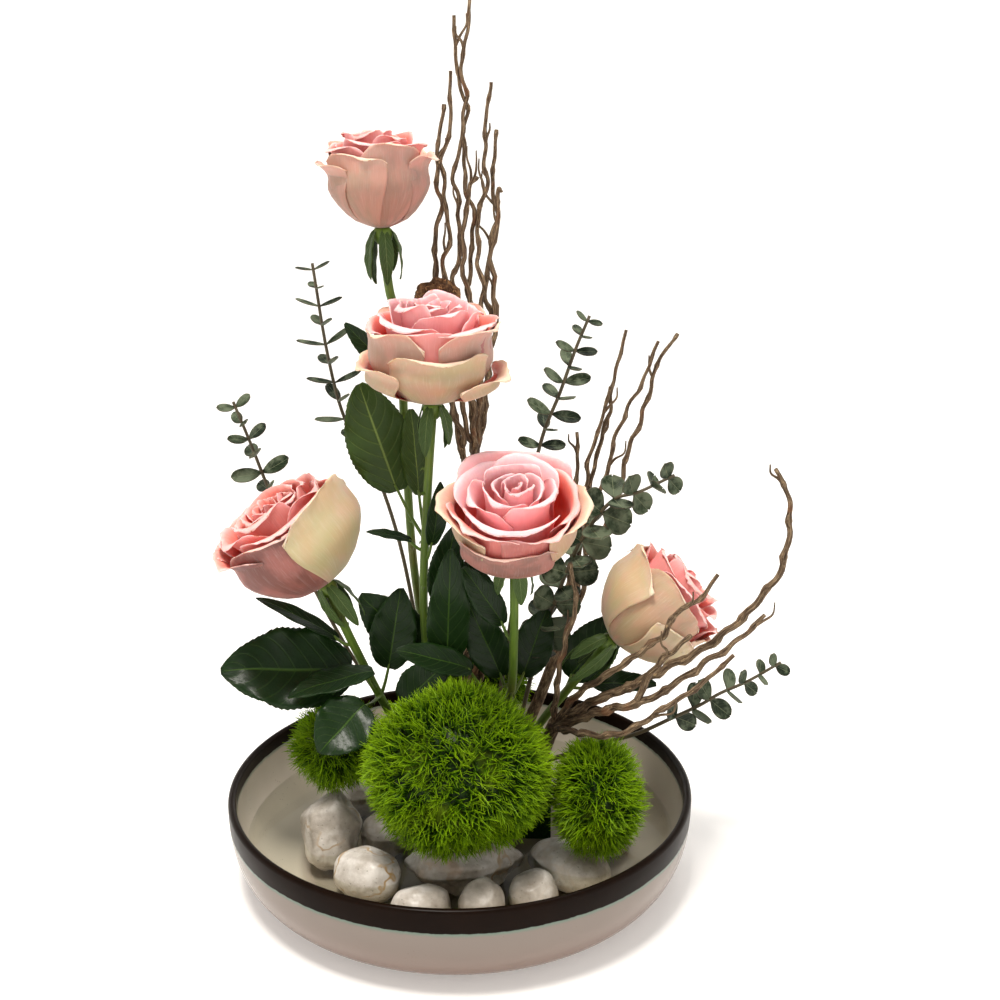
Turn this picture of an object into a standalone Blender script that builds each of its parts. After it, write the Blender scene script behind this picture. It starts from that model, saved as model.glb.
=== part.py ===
"""Rose centerpiece: five roses, eucalyptus, curly willow and green dianthus in a shallow bowl.

Metres, +Z up. The origin is the middle of the bowl's flat base. The photographed front faces -Y.
"""
import math
import random

import bmesh
import bpy
from mathutils import Matrix, Vector, noise

MM = 0.001
GAP = 0.0003
WELD = 1e-6
FORWARD = Vector((0, -1, 0))

# Bowl
BOWL_RADIUS = 0.140
BOWL_HEIGHT = 0.056
BOWL_BASE_RADIUS = 0.098
BOWL_WALL = 0.0048
BOWL_FLOOR = 0.006
BOWL_ROUNDNESS = 0.78
BOWL_SEGMENTS = 28
BOWL_WALL_STEPS = 4

# Water and floral foam
WATER_LEVEL = 0.024
FOAM_CENTRE = (0.007, 0.042)
FOAM_SIZE = (0.098, 0.056, 0.0457)
FOAM_CLEARANCE = 0.0004
HOLE_CLEARANCE = 0.0003
HOLE_SIDES = 6
HOLE_REACH = 0.012
HOLE_DEPTH = 0.0015

# Rose flowers: place of the calyx, way the flower faces, radius, height, petals curled out, seed
ROSES = {
    "top": dict(base=(-43, 37, 385), axis=(-0.03, -0.02, 1.0), radius=28.5, height=50, flare=0.16, seed=11),
    "upper": dict(base=(-14, 1, 291), axis=(0.0, -0.10, 1.0), radius=35.5, height=54, flare=0.22, seed=22),
    "left": dict(base=(-78, -9, 187), axis=(-0.52, -0.10, 0.85), radius=39, height=58, flare=0.16, seed=33),
    "front": dict(base=(32, -30, 209), axis=(0.0, -0.40, 0.92), radius=34, height=52, flare=0.18, seed=44),
    "right": dict(base=(90, -14, 154), axis=(0.78, 0.02, 0.63), radius=32.5, height=58, flare=0.14, seed=55),
}
PETAL_THICKNESS = 0.0009

# A petal seen from the side, from its root to below its lip, as shares of its reach and of the flower's
# height. One edge is tucked inside the flower and the other stands out, and the lip is waved. All these are
# shares of the flower's radius. The petal widens from its root share to its full width.
PETAL_PROFILE = ((0.08, 0.0), (0.66, 0.13), (1.0, 0.42), (0.99, 0.70))
PETAL_TUCK = 0.050
PETAL_WAVE = 0.050
PETAL_JITTER = 0.02
PETAL_SHOULDER = 0.20
PETAL_ROOT_SHARE = 0.35
PETAL_FULL_WIDTH_AT = 0.6
WHORL_TURN = 2.4

# Petal whorls from outside in: petals, share of the radius, half width in degrees, top height, flare,
# and the cells of a petal across and along
WHORLS = (
    (5, 1.00, 37, 0.86, 1.0, 3, 3),
    (4, 0.78, 44, 0.93, 0.4, 2, 2),
    (3, 0.54, 58, 0.99, 0.0, 2, 2),
)

# The closed bud at the heart of a rose, as shares of the flower's radius and height
BUD_PROFILE = ((0, 0), (0.30, 0), (0.55, 0.14), (0.30, 0.52), (0.15, 0.84), (0, 0.90))
BUD_SIDES = 6

# Under the flower: the hip as radius and height, and the sepals that hang from it
HIP_PROFILE = ((0, -0.0105), (0.0032, -0.0095), (0.0056, -0.005), (0.0048, -GAP), (0, -GAP))
HIP_SIDES = 6
SEPALS = 5
SEPAL_LENGTH = 0.031
SEPAL_WIDTH = 0.0085
SEPAL_ROOT = (0.0035, -0.0035)
SEPAL_SPREAD = 0.006

# Rose stems from the calyx down into the foam, in millimetres
STEM_RADIUS = 0.0026
STEM_SIDES = 6
ROSE_STEMS = {
    "top": ((-40, 39, 349), (-35, 42, 325), (-33, 46, 252), (-30, 50, 180), (-22, 52, 110), (-16, 52, 54),
            (-14, 52, 24)),
    "upper": ((-18, 8, 236), (-22, 18, 167), (-20, 30, 100), (-16, 34, 54), (-15, 34, 24)),
    "left": ((-67, -3, 156), (-52, 14, 110), (-40, 28, 76), (-34, 34, 54), (-30, 36, 24)),
    "front": ((32, -16, 153), (30, 2, 110), (19, 18, 75), (12, 24, 54), (9, 27, 24)),
    "right": ((69, 2, 120), (53, 15, 92), (41, 24, 68), (36, 28, 54), (33, 30, 24)),
}

# Leaves of each rose stem: where the stalk leaves the stem, leaf base, leaf tip, width, way the face
# looks, edge teeth
ROSE_LEAVES = {
    "top": (
        ((-34, 44, 290), (-40, 40, 302), (-65, 30, 330), 13, (-0.3, -0.9, 0.4), True),
    ),
    "upper": (
        ((-20, 13, 205), (-37, 25, 232), (-58, 22, 298), 38, (0.15, -1.0, 0.2), True),
        ((-20, 13, 205), (-24, 24, 230), (-27, 23, 283), 19, (-0.2, -1.0, 0.0), True),
        ((-20, 14, 198), (-28, 11, 206), (-54, 10, 213), 8, (0.0, -0.4, 1.0), False),
        ((-20, 14, 192), (-16, 6, 204), (-9, 0, 243), 13, (0.5, -1.0, 0.0), False),
        ((-21, 20, 152), (-13, 12, 166), (-2, 6, 215), 20, (0.1, -1.0, 0.2), True),
        ((-20, 27, 112), (-8, 0, 128), (-4, -14, 205), 25, (0.1, -1.0, -0.1), True),
        ((-20, 27, 116), (-24, 30, 128), (-60, 22, 166), 42, (0.0, -1.0, 0.35), True),
    ),
    "left": (
        ((-57, 8, 124), (-64, -3, 129), (-137, -22, 139), 50, (-0.05, -0.75, 0.66), True),
        ((-52, 14, 110), (-50, -14, 134), (-97, -36, 130), 20, (0.1, -0.3, 1.0), True),
        ((-49, 17, 104), (-54, -30, 120), (-78, -52, 101), 34, (-0.1, -0.85, 0.5), True),
        ((-64, 0, 144), (-72, 6, 146), (-119, 6, 174), 11, (0.0, -0.5, 1.0), False),
    ),
    "front": (
        ((32, -14, 150), (26, -12, 162), (4, -18, 198), 17, (0.2, -1.0, 0.3), True),
        ((30, 2, 110), (25, 4, 122), (6, 2, 168), 24, (0.1, -1.0, 0.2), True),
        ((26, 8, 96), (8, -8, 132), (-34, -24, 152), 18, (0.1, -0.7, 0.7), True),
    ),
    "right": (
        ((60, 9, 104), (66, 16, 116), (96, 20, 154), 30, (-0.2, -1.0, 0.2), True),
        ((66, 4, 115), (80, 2, 118), (116, -8, 124), 16, (0.2, -0.6, 0.9), True),
    ),
}
LEAF_THICKNESS = 0.0007
LEAF_SAG = 0.10
LEAF_FOLD = 0.16
LEAF_TOOTH = (0.93, 1.05)
STALK_RADIUS = 0.0009
WIDE_LEAF = 22

# Eucalyptus sprays from the tip down into the foam, in millimetres; pairs of leaves, their
# spacing and size, how far they turn their faces forward, seed
EUCALYPTUS = {
    "back_left": dict(path=((-87, 60, 362), (-80, 62, 306), (-71, 66, 265), (-54, 70, 232), (-40, 72, 184),
                            (-30, 71, 126), (-26, 68, 80), (-24, 65, 54), (-23, 63, 26)),
                      pairs=10, spacing=12, length=17, width=6.5, turned=0.2, seed=3),
    "far_left": dict(path=((-136, 48, 281), (-127, 50, 254), (-118, 51, 226), (-101, 53, 179), (-76, 57, 122),
                           (-50, 58, 76), (-38, 57, 55), (-32, 56, 28)),
                     pairs=6, spacing=11.5, length=17, width=9.5, turned=0.5, seed=5),
    "centre": dict(path=((77, 52, 332), (69, 52, 312), (60, 54, 285), (50, 56, 258), (42, 58, 220),
                         (34, 56, 160), (24, 50, 90), (20, 47, 54), (19, 46, 26)),
                   pairs=9, spacing=10.5, length=17, width=8.5, turned=0.45, seed=7),
    "round": dict(path=((124, 2, 248), (104, 2, 238), (90, 4, 233), (79, 10, 218), (70, 16, 200),
                        (60, 24, 170), (48, 33, 128), (38, 41, 80), (33, 45, 54), (32, 46, 26)),
                  pairs=9, spacing=13.0, length=17, width=17.0, turned=0.65, seed=9),
    "low_right": dict(path=((195, 16, 126), (177, 22, 111), (161, 26, 101), (149, 28, 92), (131, 31, 81),
                            (110, 36, 68), (84, 43, 57), (64, 47, 47), (46, 49, 40)),
                      pairs=7, spacing=12.5, length=16, width=11.0, turned=0.6, seed=13),
}
SPRIG_FOOT_RADIUS = 0.0016
SPRIG_TIP_RADIUS = 0.0009
SPOON_WIDEST = 0.58
SPOON_NECK = 0.16
SPOON_CUP = 0.10

# Tall willow strands: tip x, tip height, bulge x, neck x and depth, and where each leaves the bundle
TALL_ROOT = ((7, 60, 84), (6, 61, 68), (6, 61, 54), (6, 61, 26))
TALL_FOOT_RADIUS = 0.0058
TALL_STRANDS = (
    (7, 508, -1, 1, 60, None),
    (-2, 500, 6, 7, 64, None),
    (-4, 470, -8, -5, 57, None),
    (19, 464, 13, 11, 60, None),
    (22, 438, 20, 14, 65, None),
    (-8, 452, -13, -10, 60, 2),
    (25, 404, 22, 18, 61, 3),
    (11, 412, 4, 5, 56, 0),
)
TALL_WAVE = 0.0026
TALL_FORK = 245
TALL_NECK = 300
TALL_BULGE = 395
TALL_SPREAD = 3.4
STRAND_RADII = (0.0018, 0.0008)
BURL = (-13, 55, 342)
BURL_SIZE = (13, 8, 11)

# Upright willow tips behind the roses
UPRIGHT_ROOT = ((63, 60, 122), (51, 60, 86), (39, 60, 54), (36, 60, 26))
UPRIGHT_FOOT_RADIUS = 0.0042
UPRIGHT_FORK_RADIUS = 0.0034
UPRIGHT_WAVE = 0.0011
UPRIGHT_TIPS = (
    ((71, 58, 260), (72, 58, 222), (68, 59, 165)),
    ((91, 60, 288), (78, 60, 232), (70, 60, 168)),
    ((100, 63, 322), (84, 62, 242), (72, 61, 170)),
    ((119, 58, 316), (91, 59, 242), (74, 60, 166)),
    ((131, 62, 320), (117, 62, 294), (101, 63, 234), (78, 61, 162)),
)

# Sweeping willow branches at the right, over the dianthus
SWEEP_ROOT = ((57, -2, 94), (53, 10, 76), (49, 21, 54), (48, 24, 26))
SWEEP_FOOT_RADIUS = 0.0046
SWEEP_FORK_RADIUS = 0.0042
SWEEP_WAVE = 0.0009
SWEEP_RADII = (0.0028, 0.0028, 0.0021, 0.0021, 0.0021, 0.0021)
SWEEP_TIP_RADIUS = 0.0011
SWEEP_BRANCHES = (
    ((168, -60, 268), (176, -60, 254), (177, -60, 240), (173, -60, 212), (160, -58, 188), (131, -52, 161),
     (103, -38, 137), (80, -20, 118), (57, -2, 93)),
    ((167, -61, 187), (152, -63, 173), (129, -60, 152), (104, -49, 131), (82, -32, 116), (57, -3, 92)),
    ((140, -64, 211), (131, -64, 197), (120, -63, 190), (112, -62, 176), (95, -48, 154), (72, -20, 124),
     (57, -2, 94)),
    ((149, -72, 168), (133, -69, 150), (113, -63, 132), (88, -54, 112), (66, -26, 101), (57, -2, 91)),
    ((127, -66, 177), (118, -64, 168), (110, -55, 155), (101, -48, 131)),
    ((63, -31, 206), (66, -26, 178), (57, -12, 124), (57, -2, 93)),
)

# Green dianthus heads: centre, half sizes, how finely the core is divided into tufts, seed, and stem
# into the foam
HEADS = {
    "front": dict(centre=(0, -52, 90), size=(55, 50, 51), subdivisions=3, seed=1,
                  stem=((0, -30, 72), (2, -8, 56), (4, 12, 43), (5, 30, 38))),
    "right": dict(centre=(80, -44, 68), size=(29, 33, 37), subdivisions=2, seed=2,
                  stem=((74, -26, 62), (56, -6, 51), (42, 12, 43), (39, 24, 38))),
    "left": dict(centre=(-76, 3, 78), size=(30, 29, 29), subdivisions=2, seed=3,
                 stem=((-64, 14, 66), (-54, 20, 50), (-43, 24, 43), (-28, 28, 38))),
    "back": dict(centre=(12, 100, 82), size=(36, 31, 34), subdivisions=2, seed=4,
                 stem=((14, 92, 62), (18, 82, 49), (21, 71, 42), (22, 58, 38))),
}
TUFT_LENGTH = 0.0110
TUFT_LEAN = 0.35
HEAD_STEM_RADIUS = 0.0022

# Pebbles: facets, how low the middle lies and the room in the water as shares of the half size
PEBBLE_SEGMENTS = 8
PEBBLE_RINGS = 6
PEBBLE_SINK = 0.96
PEBBLE_ROOM = 0.03

# Each pebble: centre on the bowl floor, half sizes, turn about the vertical in degrees, roughness, seed
PEBBLES = {
    "rough_left": ((-79, -15), (18, 22, 20), 10, 0.10, 21),
    "round_left": ((-46, -5), (16, 14, 16), 35, 0.04, 22),
    "veined": ((-53, -52), (21, 16, 16), -20, 0.05, 23),
    "front_left": ((-20, -83), (18, 14, 14), 5, 0.05, 24),
    "rough_centre": ((3, -40), (33, 21, 17), 5, 0.11, 25),
    "small_front": ((14, -83), (13, 13, 16), 30, 0.05, 26),
    "front_right": ((43, -70), (15, 14, 15), 60, 0.04, 27),
    "large_oval": ((65, -38), (27, 18, 13.5), -38, 0.02, 28),
    "right": ((92, -2), (14, 13, 11), 20, 0.05, 29),
    "back_left": ((-70, 46), (18, 15, 14), -30, 0.06, 30),
    "back": ((-26, 86), (17, 11, 12), 10, 0.06, 31),
    "back_right": ((79, 44), (15, 14, 12), 40, 0.06, 32),
}


def clear_scene():
    """Remove whatever the file opened with."""
    for existing in list(bpy.data.objects):
        bpy.data.objects.remove(existing, do_unlink=True)


def finish_material(name, colour, roughness, metallic=0.0, transmission=0.0):
    """Make one Principled material."""
    material = bpy.data.materials.new(name)
    material.use_nodes = True
    shader = material.node_tree.nodes["Principled BSDF"]
    shader.inputs["Base Color"].default_value = (*colour, 1.0)
    shader.inputs["Roughness"].default_value = roughness
    shader.inputs["Metallic"].default_value = metallic
    shader.inputs["Transmission Weight"].default_value = transmission
    return material


def point(values):
    """Turn millimetres into a place in metres."""
    return Vector(values) * MM


def object_from(bm, name):
    """Write a bmesh into a new object of the scene."""
    mesh = bpy.data.meshes.new(name)
    bm.to_mesh(mesh)
    bm.free()
    made = bpy.data.objects.new(name, mesh)
    bpy.context.scene.collection.objects.link(made)
    return made


def evaluated_mesh(source):
    """The mesh of an object with its modifiers or its curve bevel worked out."""
    bpy.context.view_layer.update()
    depsgraph = bpy.context.evaluated_depsgraph_get()
    return bpy.data.meshes.new_from_object(source.evaluated_get(depsgraph))


def baked(source):
    """Replace an object by one that holds its evaluated mesh."""
    mesh = evaluated_mesh(source)
    made = bpy.data.objects.new(source.name, mesh)
    bpy.data.objects.remove(source, do_unlink=True)
    bpy.context.scene.collection.objects.link(made)
    return made


def welded(made):
    """Join the vertices of an object that share one place, as where a tube meets its caps."""
    bm = bmesh.new()
    bm.from_mesh(made.data)
    bmesh.ops.remove_doubles(bm, verts=bm.verts, dist=WELD)
    bm.to_mesh(made.data)
    bm.free()
    return made


def islands(bm):
    """The connected pieces of a bmesh, as lists of faces."""
    waiting = set(bm.faces)
    found = []
    while waiting:
        first = waiting.pop()
        piece = [first]
        for face in piece:
            for edge in face.edges:
                for other in edge.link_faces:
                    if other in waiting:
                        waiting.remove(other)
                        piece.append(other)
        found.append(piece)
    return found


def keep_main_body(made):
    """Fill the hollows that fusing sealed and drop loose scraps, which are all but the largest piece."""
    bm = bmesh.new()
    bm.from_mesh(made.data)
    bmesh.ops.remove_doubles(bm, verts=bm.verts, dist=WELD)
    bmesh.ops.dissolve_degenerate(bm, dist=WELD, edges=bm.edges)
    pieces = sorted(islands(bm), key=len)
    for piece in pieces[:-1]:
        print("dropped", made.name, len(piece), "faces near", piece[0].calc_center_median())
        bmesh.ops.delete(bm, geom=piece, context="FACES")
    bmesh.ops.triangulate(bm, faces=bm.faces)
    drop_flaps(bm)
    bm.to_mesh(made.data)
    bm.free()


def drop_flaps(bm):
    """Delete pairs of triangles that lie back to back on the same three corners."""
    sharing = {}
    for face in bm.faces:
        sharing.setdefault(frozenset(face.verts), []).append(face)
    flaps = [face for same in sharing.values() if len(same) > 1 for face in same]
    bmesh.ops.delete(bm, geom=flaps, context="FACES")


def boolean(body, others, operation):
    """Join to a body, or cut from it, all the other objects at once, and remove them."""
    group = bpy.data.collections.new("operands")
    bpy.context.scene.collection.children.link(group)
    for other in others:
        group.objects.link(other)
    step = body.modifiers.new("boolean", "BOOLEAN")
    step.operation = operation
    step.operand_type = "COLLECTION"
    step.collection = group
    step.solver = "EXACT"
    mesh = evaluated_mesh(body)
    body.modifiers.clear()
    body.data = mesh
    for other in others:
        bpy.data.objects.remove(other, do_unlink=True)
    bpy.data.collections.remove(group)
    keep_main_body(body)
    return body


def fuse(name, parts, material):
    """Join overlapping parts into one body with one material."""
    body = boolean(parts[0], parts[1:], "UNION")
    return named(body, name, material)


def named(body, name, material, smooth_angle=40):
    """Give a finished body its name, its material and its smooth shading."""
    body.name = name
    body.data.name = name
    body.data.materials.clear()
    body.data.materials.append(material)
    body.data.shade_smooth()
    body.data.set_sharp_from_angle(angle=math.radians(smooth_angle))
    return body


def smooth_path(points, steps):
    """Points on a smooth curve through the given ones, the same number along every stretch."""
    ends = [points[0] * 2 - points[1]] + list(points) + [points[-1] * 2 - points[-2]]
    found = []
    for index in range(1, len(ends) - 2):
        before, start, end, after = ends[index - 1:index + 3]
        for step in range(steps):
            t = step / steps
            found.append(0.5 * (2 * start + (end - before) * t
                                + (2 * before - 5 * start + 4 * end - after) * t ** 2
                                + (3 * start - before - 3 * end + after) * t ** 3))
    found.append(points[-1])
    return found


def tube(path, radii, sides=6):
    """A closed tube along a path, with its radius given at every point."""
    curve = bpy.data.curves.new("tube", "CURVE")
    curve.dimensions = "3D"
    curve.bevel_depth = 1.0
    curve.bevel_resolution = (sides - 4) // 2
    curve.use_fill_caps = True
    spline = curve.splines.new("POLY")
    spline.points.add(len(path) - 1)
    for knot, place, radius in zip(spline.points, path, radii):
        knot.co = (*place, 1.0)
        knot.radius = radius
    made = bpy.data.objects.new("tube", curve)
    bpy.context.scene.collection.objects.link(made)
    return welded(baked(made))


def taper(count, thick, thin):
    """Radii that grow evenly from the first point to the last."""
    return [thin + (thick - thin) * index / (count - 1) for index in range(count)]


def blade(surface, across, along, thickness):
    """A thin closed blade: a grid carried onto a surface of (u, v) and thickened alike on both faces."""
    bm = bmesh.new()
    bmesh.ops.create_grid(bm, x_segments=across, y_segments=along, size=0.5)
    for vertex in bm.verts:
        u = vertex.co.x * 2
        v = vertex.co.y + 0.5
        vertex.co = surface(u, v)
    bmesh.ops.triangulate(bm, faces=bm.faces)
    bm.normal_update()
    made = object_from(bm, "blade")
    wall = made.modifiers.new("wall", "SOLIDIFY")
    wall.thickness = thickness
    wall.offset = 0.0
    return baked(made)


def turned(profile, segments, name):
    """A closed body turned round Z from a profile of (radius, height) that starts and ends at the axis."""
    bm = bmesh.new()
    corners = [bm.verts.new((radius, 0.0, height)) for radius, height in profile]
    edges = [bm.edges.new(pair) for pair in zip(corners, corners[1:])]
    bmesh.ops.spin(bm, geom=corners + edges, axis=(0, 0, 1), cent=(0, 0, 0),
                   angle=math.tau, steps=segments, use_merge=True)
    bmesh.ops.remove_doubles(bm, verts=bm.verts, dist=WELD)
    bmesh.ops.recalc_face_normals(bm, faces=bm.faces)
    return object_from(bm, name)


def bowl_curve(inset, steps, top):
    """The rounded wall of the bowl, from the floor's edge up to a height, moved in by an inset."""
    low = BOWL_BASE_RADIUS
    found = []
    for step in range(steps + 1):
        turn = step / steps * math.pi / 2
        out = math.sin(turn) ** BOWL_ROUNDNESS
        rise = 1 - math.cos(turn) ** BOWL_ROUNDNESS
        radius = low + (BOWL_RADIUS - low) * out - inset
        found.append((radius, top[0] + (top[1] - top[0]) * rise))
    return found


def make_bowl():
    """Shallow round bowl: a thrown wall of even thickness with a rounded lip, on a flat base."""
    lip = BOWL_WALL / 2
    outer = bowl_curve(0.0, BOWL_WALL_STEPS, (0.0, BOWL_HEIGHT - lip))
    inner = bowl_curve(BOWL_WALL, BOWL_WALL_STEPS, (BOWL_FLOOR, BOWL_HEIGHT - lip))
    crown = [(BOWL_RADIUS - lip + lip * math.cos(turn), BOWL_HEIGHT - lip + lip * math.sin(turn))
             for turn in (math.pi / 4, math.pi / 2, math.pi * 3 / 4)]
    profile = [(0.0, 0.0)] + outer + crown + inner[::-1] + [(0.0, BOWL_FLOOR)]
    body = turned(profile, BOWL_SEGMENTS, "bowl")
    return named(body, "bowl", finish_material("glazed_bowl", (0.72, 0.66, 0.58), 0.2))


def pebble_body(centre, half, turn, roughness, seed):
    """An egg-shaped pebble with a bumpy skin, cut level where it lies on the bowl floor."""
    draw = random.Random(seed)
    shift = Vector((draw.uniform(0, 50), draw.uniform(0, 50), draw.uniform(0, 50)))
    bm = bmesh.new()
    bmesh.ops.create_uvsphere(bm, u_segments=PEBBLE_SEGMENTS, v_segments=PEBBLE_RINGS, radius=1.0)
    rest = BOWL_FLOOR + GAP
    turn_matrix = Matrix.Rotation(math.radians(turn), 3, "Z")
    for vertex in bm.verts:
        way = vertex.co.normalized()
        bump = 1 + roughness * noise.noise(way * 1.6 + shift) * 2
        spot = Vector((way.x * half[0], way.y * half[1], way.z * half[2])) * MM * bump
        spot = turn_matrix @ spot
        spot += Vector((centre[0] * MM, centre[1] * MM, rest + half[2] * MM * PEBBLE_SINK))
        spot.z = max(spot.z, rest)
        vertex.co = spot
    bmesh.ops.triangulate(bm, faces=bm.faces)
    return object_from(bm, "pebble")


def pebble_hole(centre, half, turn, roughness, _seed):
    """An upright oval through the water, just wider than a pebble."""
    reach = (1 + roughness + PEBBLE_ROOM) / math.cos(math.pi / PEBBLE_SEGMENTS)
    bm = bmesh.new()
    bmesh.ops.create_cone(bm, cap_ends=True, segments=PEBBLE_SEGMENTS, radius1=1.0, radius2=1.0,
                          depth=BOWL_HEIGHT * 2)
    turn_matrix = Matrix.Rotation(math.radians(turn), 3, "Z")
    for vertex in bm.verts:
        flat = turn_matrix @ Vector((vertex.co.x * half[0], vertex.co.y * half[1], 0)) * MM * reach
        vertex.co = flat + Vector((centre[0] * MM, centre[1] * MM, vertex.co.z))
    return object_from(bm, "hole")


def make_pebbles():
    """Pale pebbles lying on the bowl floor round the foam."""
    for name, values in PEBBLES.items():
        body = pebble_body(*values)
        tone = 0.62 + 0.02 * (values[-1] % 5)
        material = finish_material("pebble_" + name, (tone, tone * 0.96, tone * 0.9), 0.35)
        named(body, "pebble_" + name, material, 60)


def stem_ends():
    """The straight end of every stem that stands in the foam, and its radius there."""
    ends = [(route[-2:], STEM_RADIUS) for route in ROSE_STEMS.values()]
    ends += [(spray["path"][-2:], SPRIG_FOOT_RADIUS) for spray in EUCALYPTUS.values()]
    ends += [(head["stem"][-2:], HEAD_STEM_RADIUS) for head in HEADS.values()]
    ends += [(TALL_ROOT[-2:], TALL_FOOT_RADIUS), (UPRIGHT_ROOT[-2:], UPRIGHT_FOOT_RADIUS),
             (SWEEP_ROOT[-2:], SWEEP_FOOT_RADIUS)]
    return [((point(upper), point(lower)), radius) for (upper, lower), radius in ends]


def foam_body(swell=0.0):
    """The block of floral foam, or the slightly larger one that the water stays clear of."""
    bm = bmesh.new()
    bmesh.ops.create_cube(bm, size=1.0)
    size = Vector(FOAM_SIZE)
    middle = Vector((*FOAM_CENTRE, BOWL_FLOOR + GAP + size.z / 2))
    for vertex in bm.verts:
        reach = size + Vector((1, 1, 1)) * 2 * swell
        vertex.co = Vector((vertex.co.x * reach.x, vertex.co.y * reach.y, vertex.co.z * reach.z)) + middle
    return object_from(bm, "foam")


def make_foam():
    """Floral foam with a plain hole for every stem. The sides of a hole clear the corners of its stem."""
    body = foam_body()
    cutters = []
    corner = 1 / math.cos(math.pi / HOLE_SIDES)
    for (upper, lower), radius in stem_ends():
        way = (lower - upper).normalized()
        hole = [upper - way * HOLE_REACH, lower + way * HOLE_DEPTH]
        cutters.append(tube(hole, [(radius + HOLE_CLEARANCE) * corner] * 2, HOLE_SIDES))
    boolean(body, cutters, "DIFFERENCE")
    return named(body, "floral_foam", finish_material("floral_foam", (0.05, 0.12, 0.04), 0.95), 30)


def make_water():
    """Water on the bowl floor, clear of the bowl, the foam and the pebbles."""
    wall = [(radius - GAP, height + GAP) for radius, height in
            bowl_curve(BOWL_WALL, BOWL_WALL_STEPS, (BOWL_FLOOR, BOWL_HEIGHT - BOWL_WALL / 2))]
    below = [spot for spot in wall if spot[1] < WATER_LEVEL]
    last = below[-1]
    above = wall[len(below)]
    share = (WATER_LEVEL - last[1]) / (above[1] - last[1])
    edge = (last[0] + (above[0] - last[0]) * share, WATER_LEVEL)
    profile = [(0.0, BOWL_FLOOR + GAP)] + below + [edge, (0.0, WATER_LEVEL)]
    body = turned(profile, BOWL_SEGMENTS, "water")
    cutters = [pebble_hole(*values) for values in PEBBLES.values()]
    cutters.append(foam_body(FOAM_CLEARANCE))
    boolean(body, cutters, "DIFFERENCE")
    return named(body, "water", finish_material("water", (0.9, 0.95, 0.95), 0.02, transmission=1.0), 30)


def petal_surface(rose, whorl, middle_angle, seed):
    """The curved sheet of one petal, in the rose's own frame with its axis along Z."""
    _count, share, half_width, top, flare, _across, _along = whorl
    draw = random.Random(seed)
    radius = rose["radius"] * MM
    height = rose["height"] * MM
    reach = radius * share * (1 + draw.uniform(-PETAL_JITTER, PETAL_JITTER))
    crest = height * top * (1 + draw.uniform(-PETAL_JITTER, PETAL_JITTER))
    stations = [Vector((out * reach, 0, rise * height)) for out, rise in PETAL_PROFILE]
    stations[0] = Vector((PETAL_PROFILE[0][0] * radius, 0, PETAL_THICKNESS * 2))
    stations.append(Vector((reach * (1 + rose["flare"] * flare), 0, crest)))
    centre_line = smooth_path(stations, 6)
    phase = draw.uniform(0, math.tau)

    def surface(u, v):
        """Place of a point: u across the petal, v from its root to its lip."""
        reached = v * (1 - PETAL_SHOULDER * abs(u) ** 2.5)
        position = reached * (len(centre_line) - 1)
        lower = min(int(position), len(centre_line) - 2)
        spot = centre_line[lower].lerp(centre_line[lower + 1], position - lower)
        opened = min(1.0, v / PETAL_FULL_WIDTH_AT)
        opened = opened * opened * (3 - 2 * opened)
        breadth = math.radians(half_width) * (PETAL_ROOT_SHARE + (1 - PETAL_ROOT_SHARE) * opened)
        angle = middle_angle + u * breadth
        out = spot.x + u * PETAL_TUCK * radius
        rise = spot.z + PETAL_WAVE * radius * v * v * math.sin(u * 3.4 + phase)
        return Vector((out * math.cos(angle), out * math.sin(angle), rise))

    return surface


def rose_frame(name):
    """The matrix that carries a flower from its own frame to its place."""
    rose = ROSES[name]
    turn = Vector(rose["axis"]).normalized().to_track_quat("Z", "Y")
    return Matrix.Translation(point(rose["base"])) @ turn.to_matrix().to_4x4()


def make_bloom(name):
    """One rose flower: three whorls of petals whose roots are sunk in the closed bud at its heart."""
    rose = ROSES[name]
    radius = rose["radius"] * MM
    height = rose["height"] * MM
    parts = [turned([(out * radius, rise * height) for out, rise in BUD_PROFILE], BUD_SIDES, "bud")]
    for ring, whorl in enumerate(WHORLS):
        count = whorl[0]
        for index in range(count):
            angle = math.tau * index / count + ring * WHORL_TURN + rose["seed"]
            surface = petal_surface(rose, whorl, angle, rose["seed"] * 100 + ring * 10 + index)
            parts.append(blade(surface, whorl[5], whorl[6], PETAL_THICKNESS))
    body = fuse("rose_bloom_" + name, parts, finish_material("petals_" + name, (0.85, 0.45, 0.38), 0.55))
    body.data.transform(rose_frame(name))
    return body


def rose_stem_path(name):
    """The middle line of a rose stem, from inside the hip down into the foam."""
    inside_hip = rose_frame(name) @ Vector((0, 0, HIP_PROFILE[2][1]))
    return [inside_hip] + [point(place) for place in ROSE_STEMS[name]]


def leaf_surface(base, tip, width, facing, teeth=0, sag=LEAF_SAG):
    """The sheet of one leaf from its base to its tip: folded a little at the rib and drooping at the tip."""
    along = tip - base
    length = along.length
    along.normalize()
    across = along.cross(Vector(facing)).normalized()
    up = across.cross(along).normalized()

    def surface(u, v):
        """Place of a point: u across the leaf, v from base to tip."""
        swell = math.sin(math.pi * min(1.0, 0.04 + 0.95 * v ** 0.85)) ** 0.8
        half = width / 2 * max(0.05, swell)
        if teeth and abs(u) > 0.9 and 0 < v < 1:
            half *= LEAF_TOOTH[round(v * teeth) % 2]
        droop = -2 * sag * length * (v - 0.35) ** 2
        lift = LEAF_FOLD * half * abs(u) + 0.03 * width * math.sin(v * 9 + u)
        return base + along * v * length + across * u * half + up * (droop + lift)

    return surface


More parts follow.
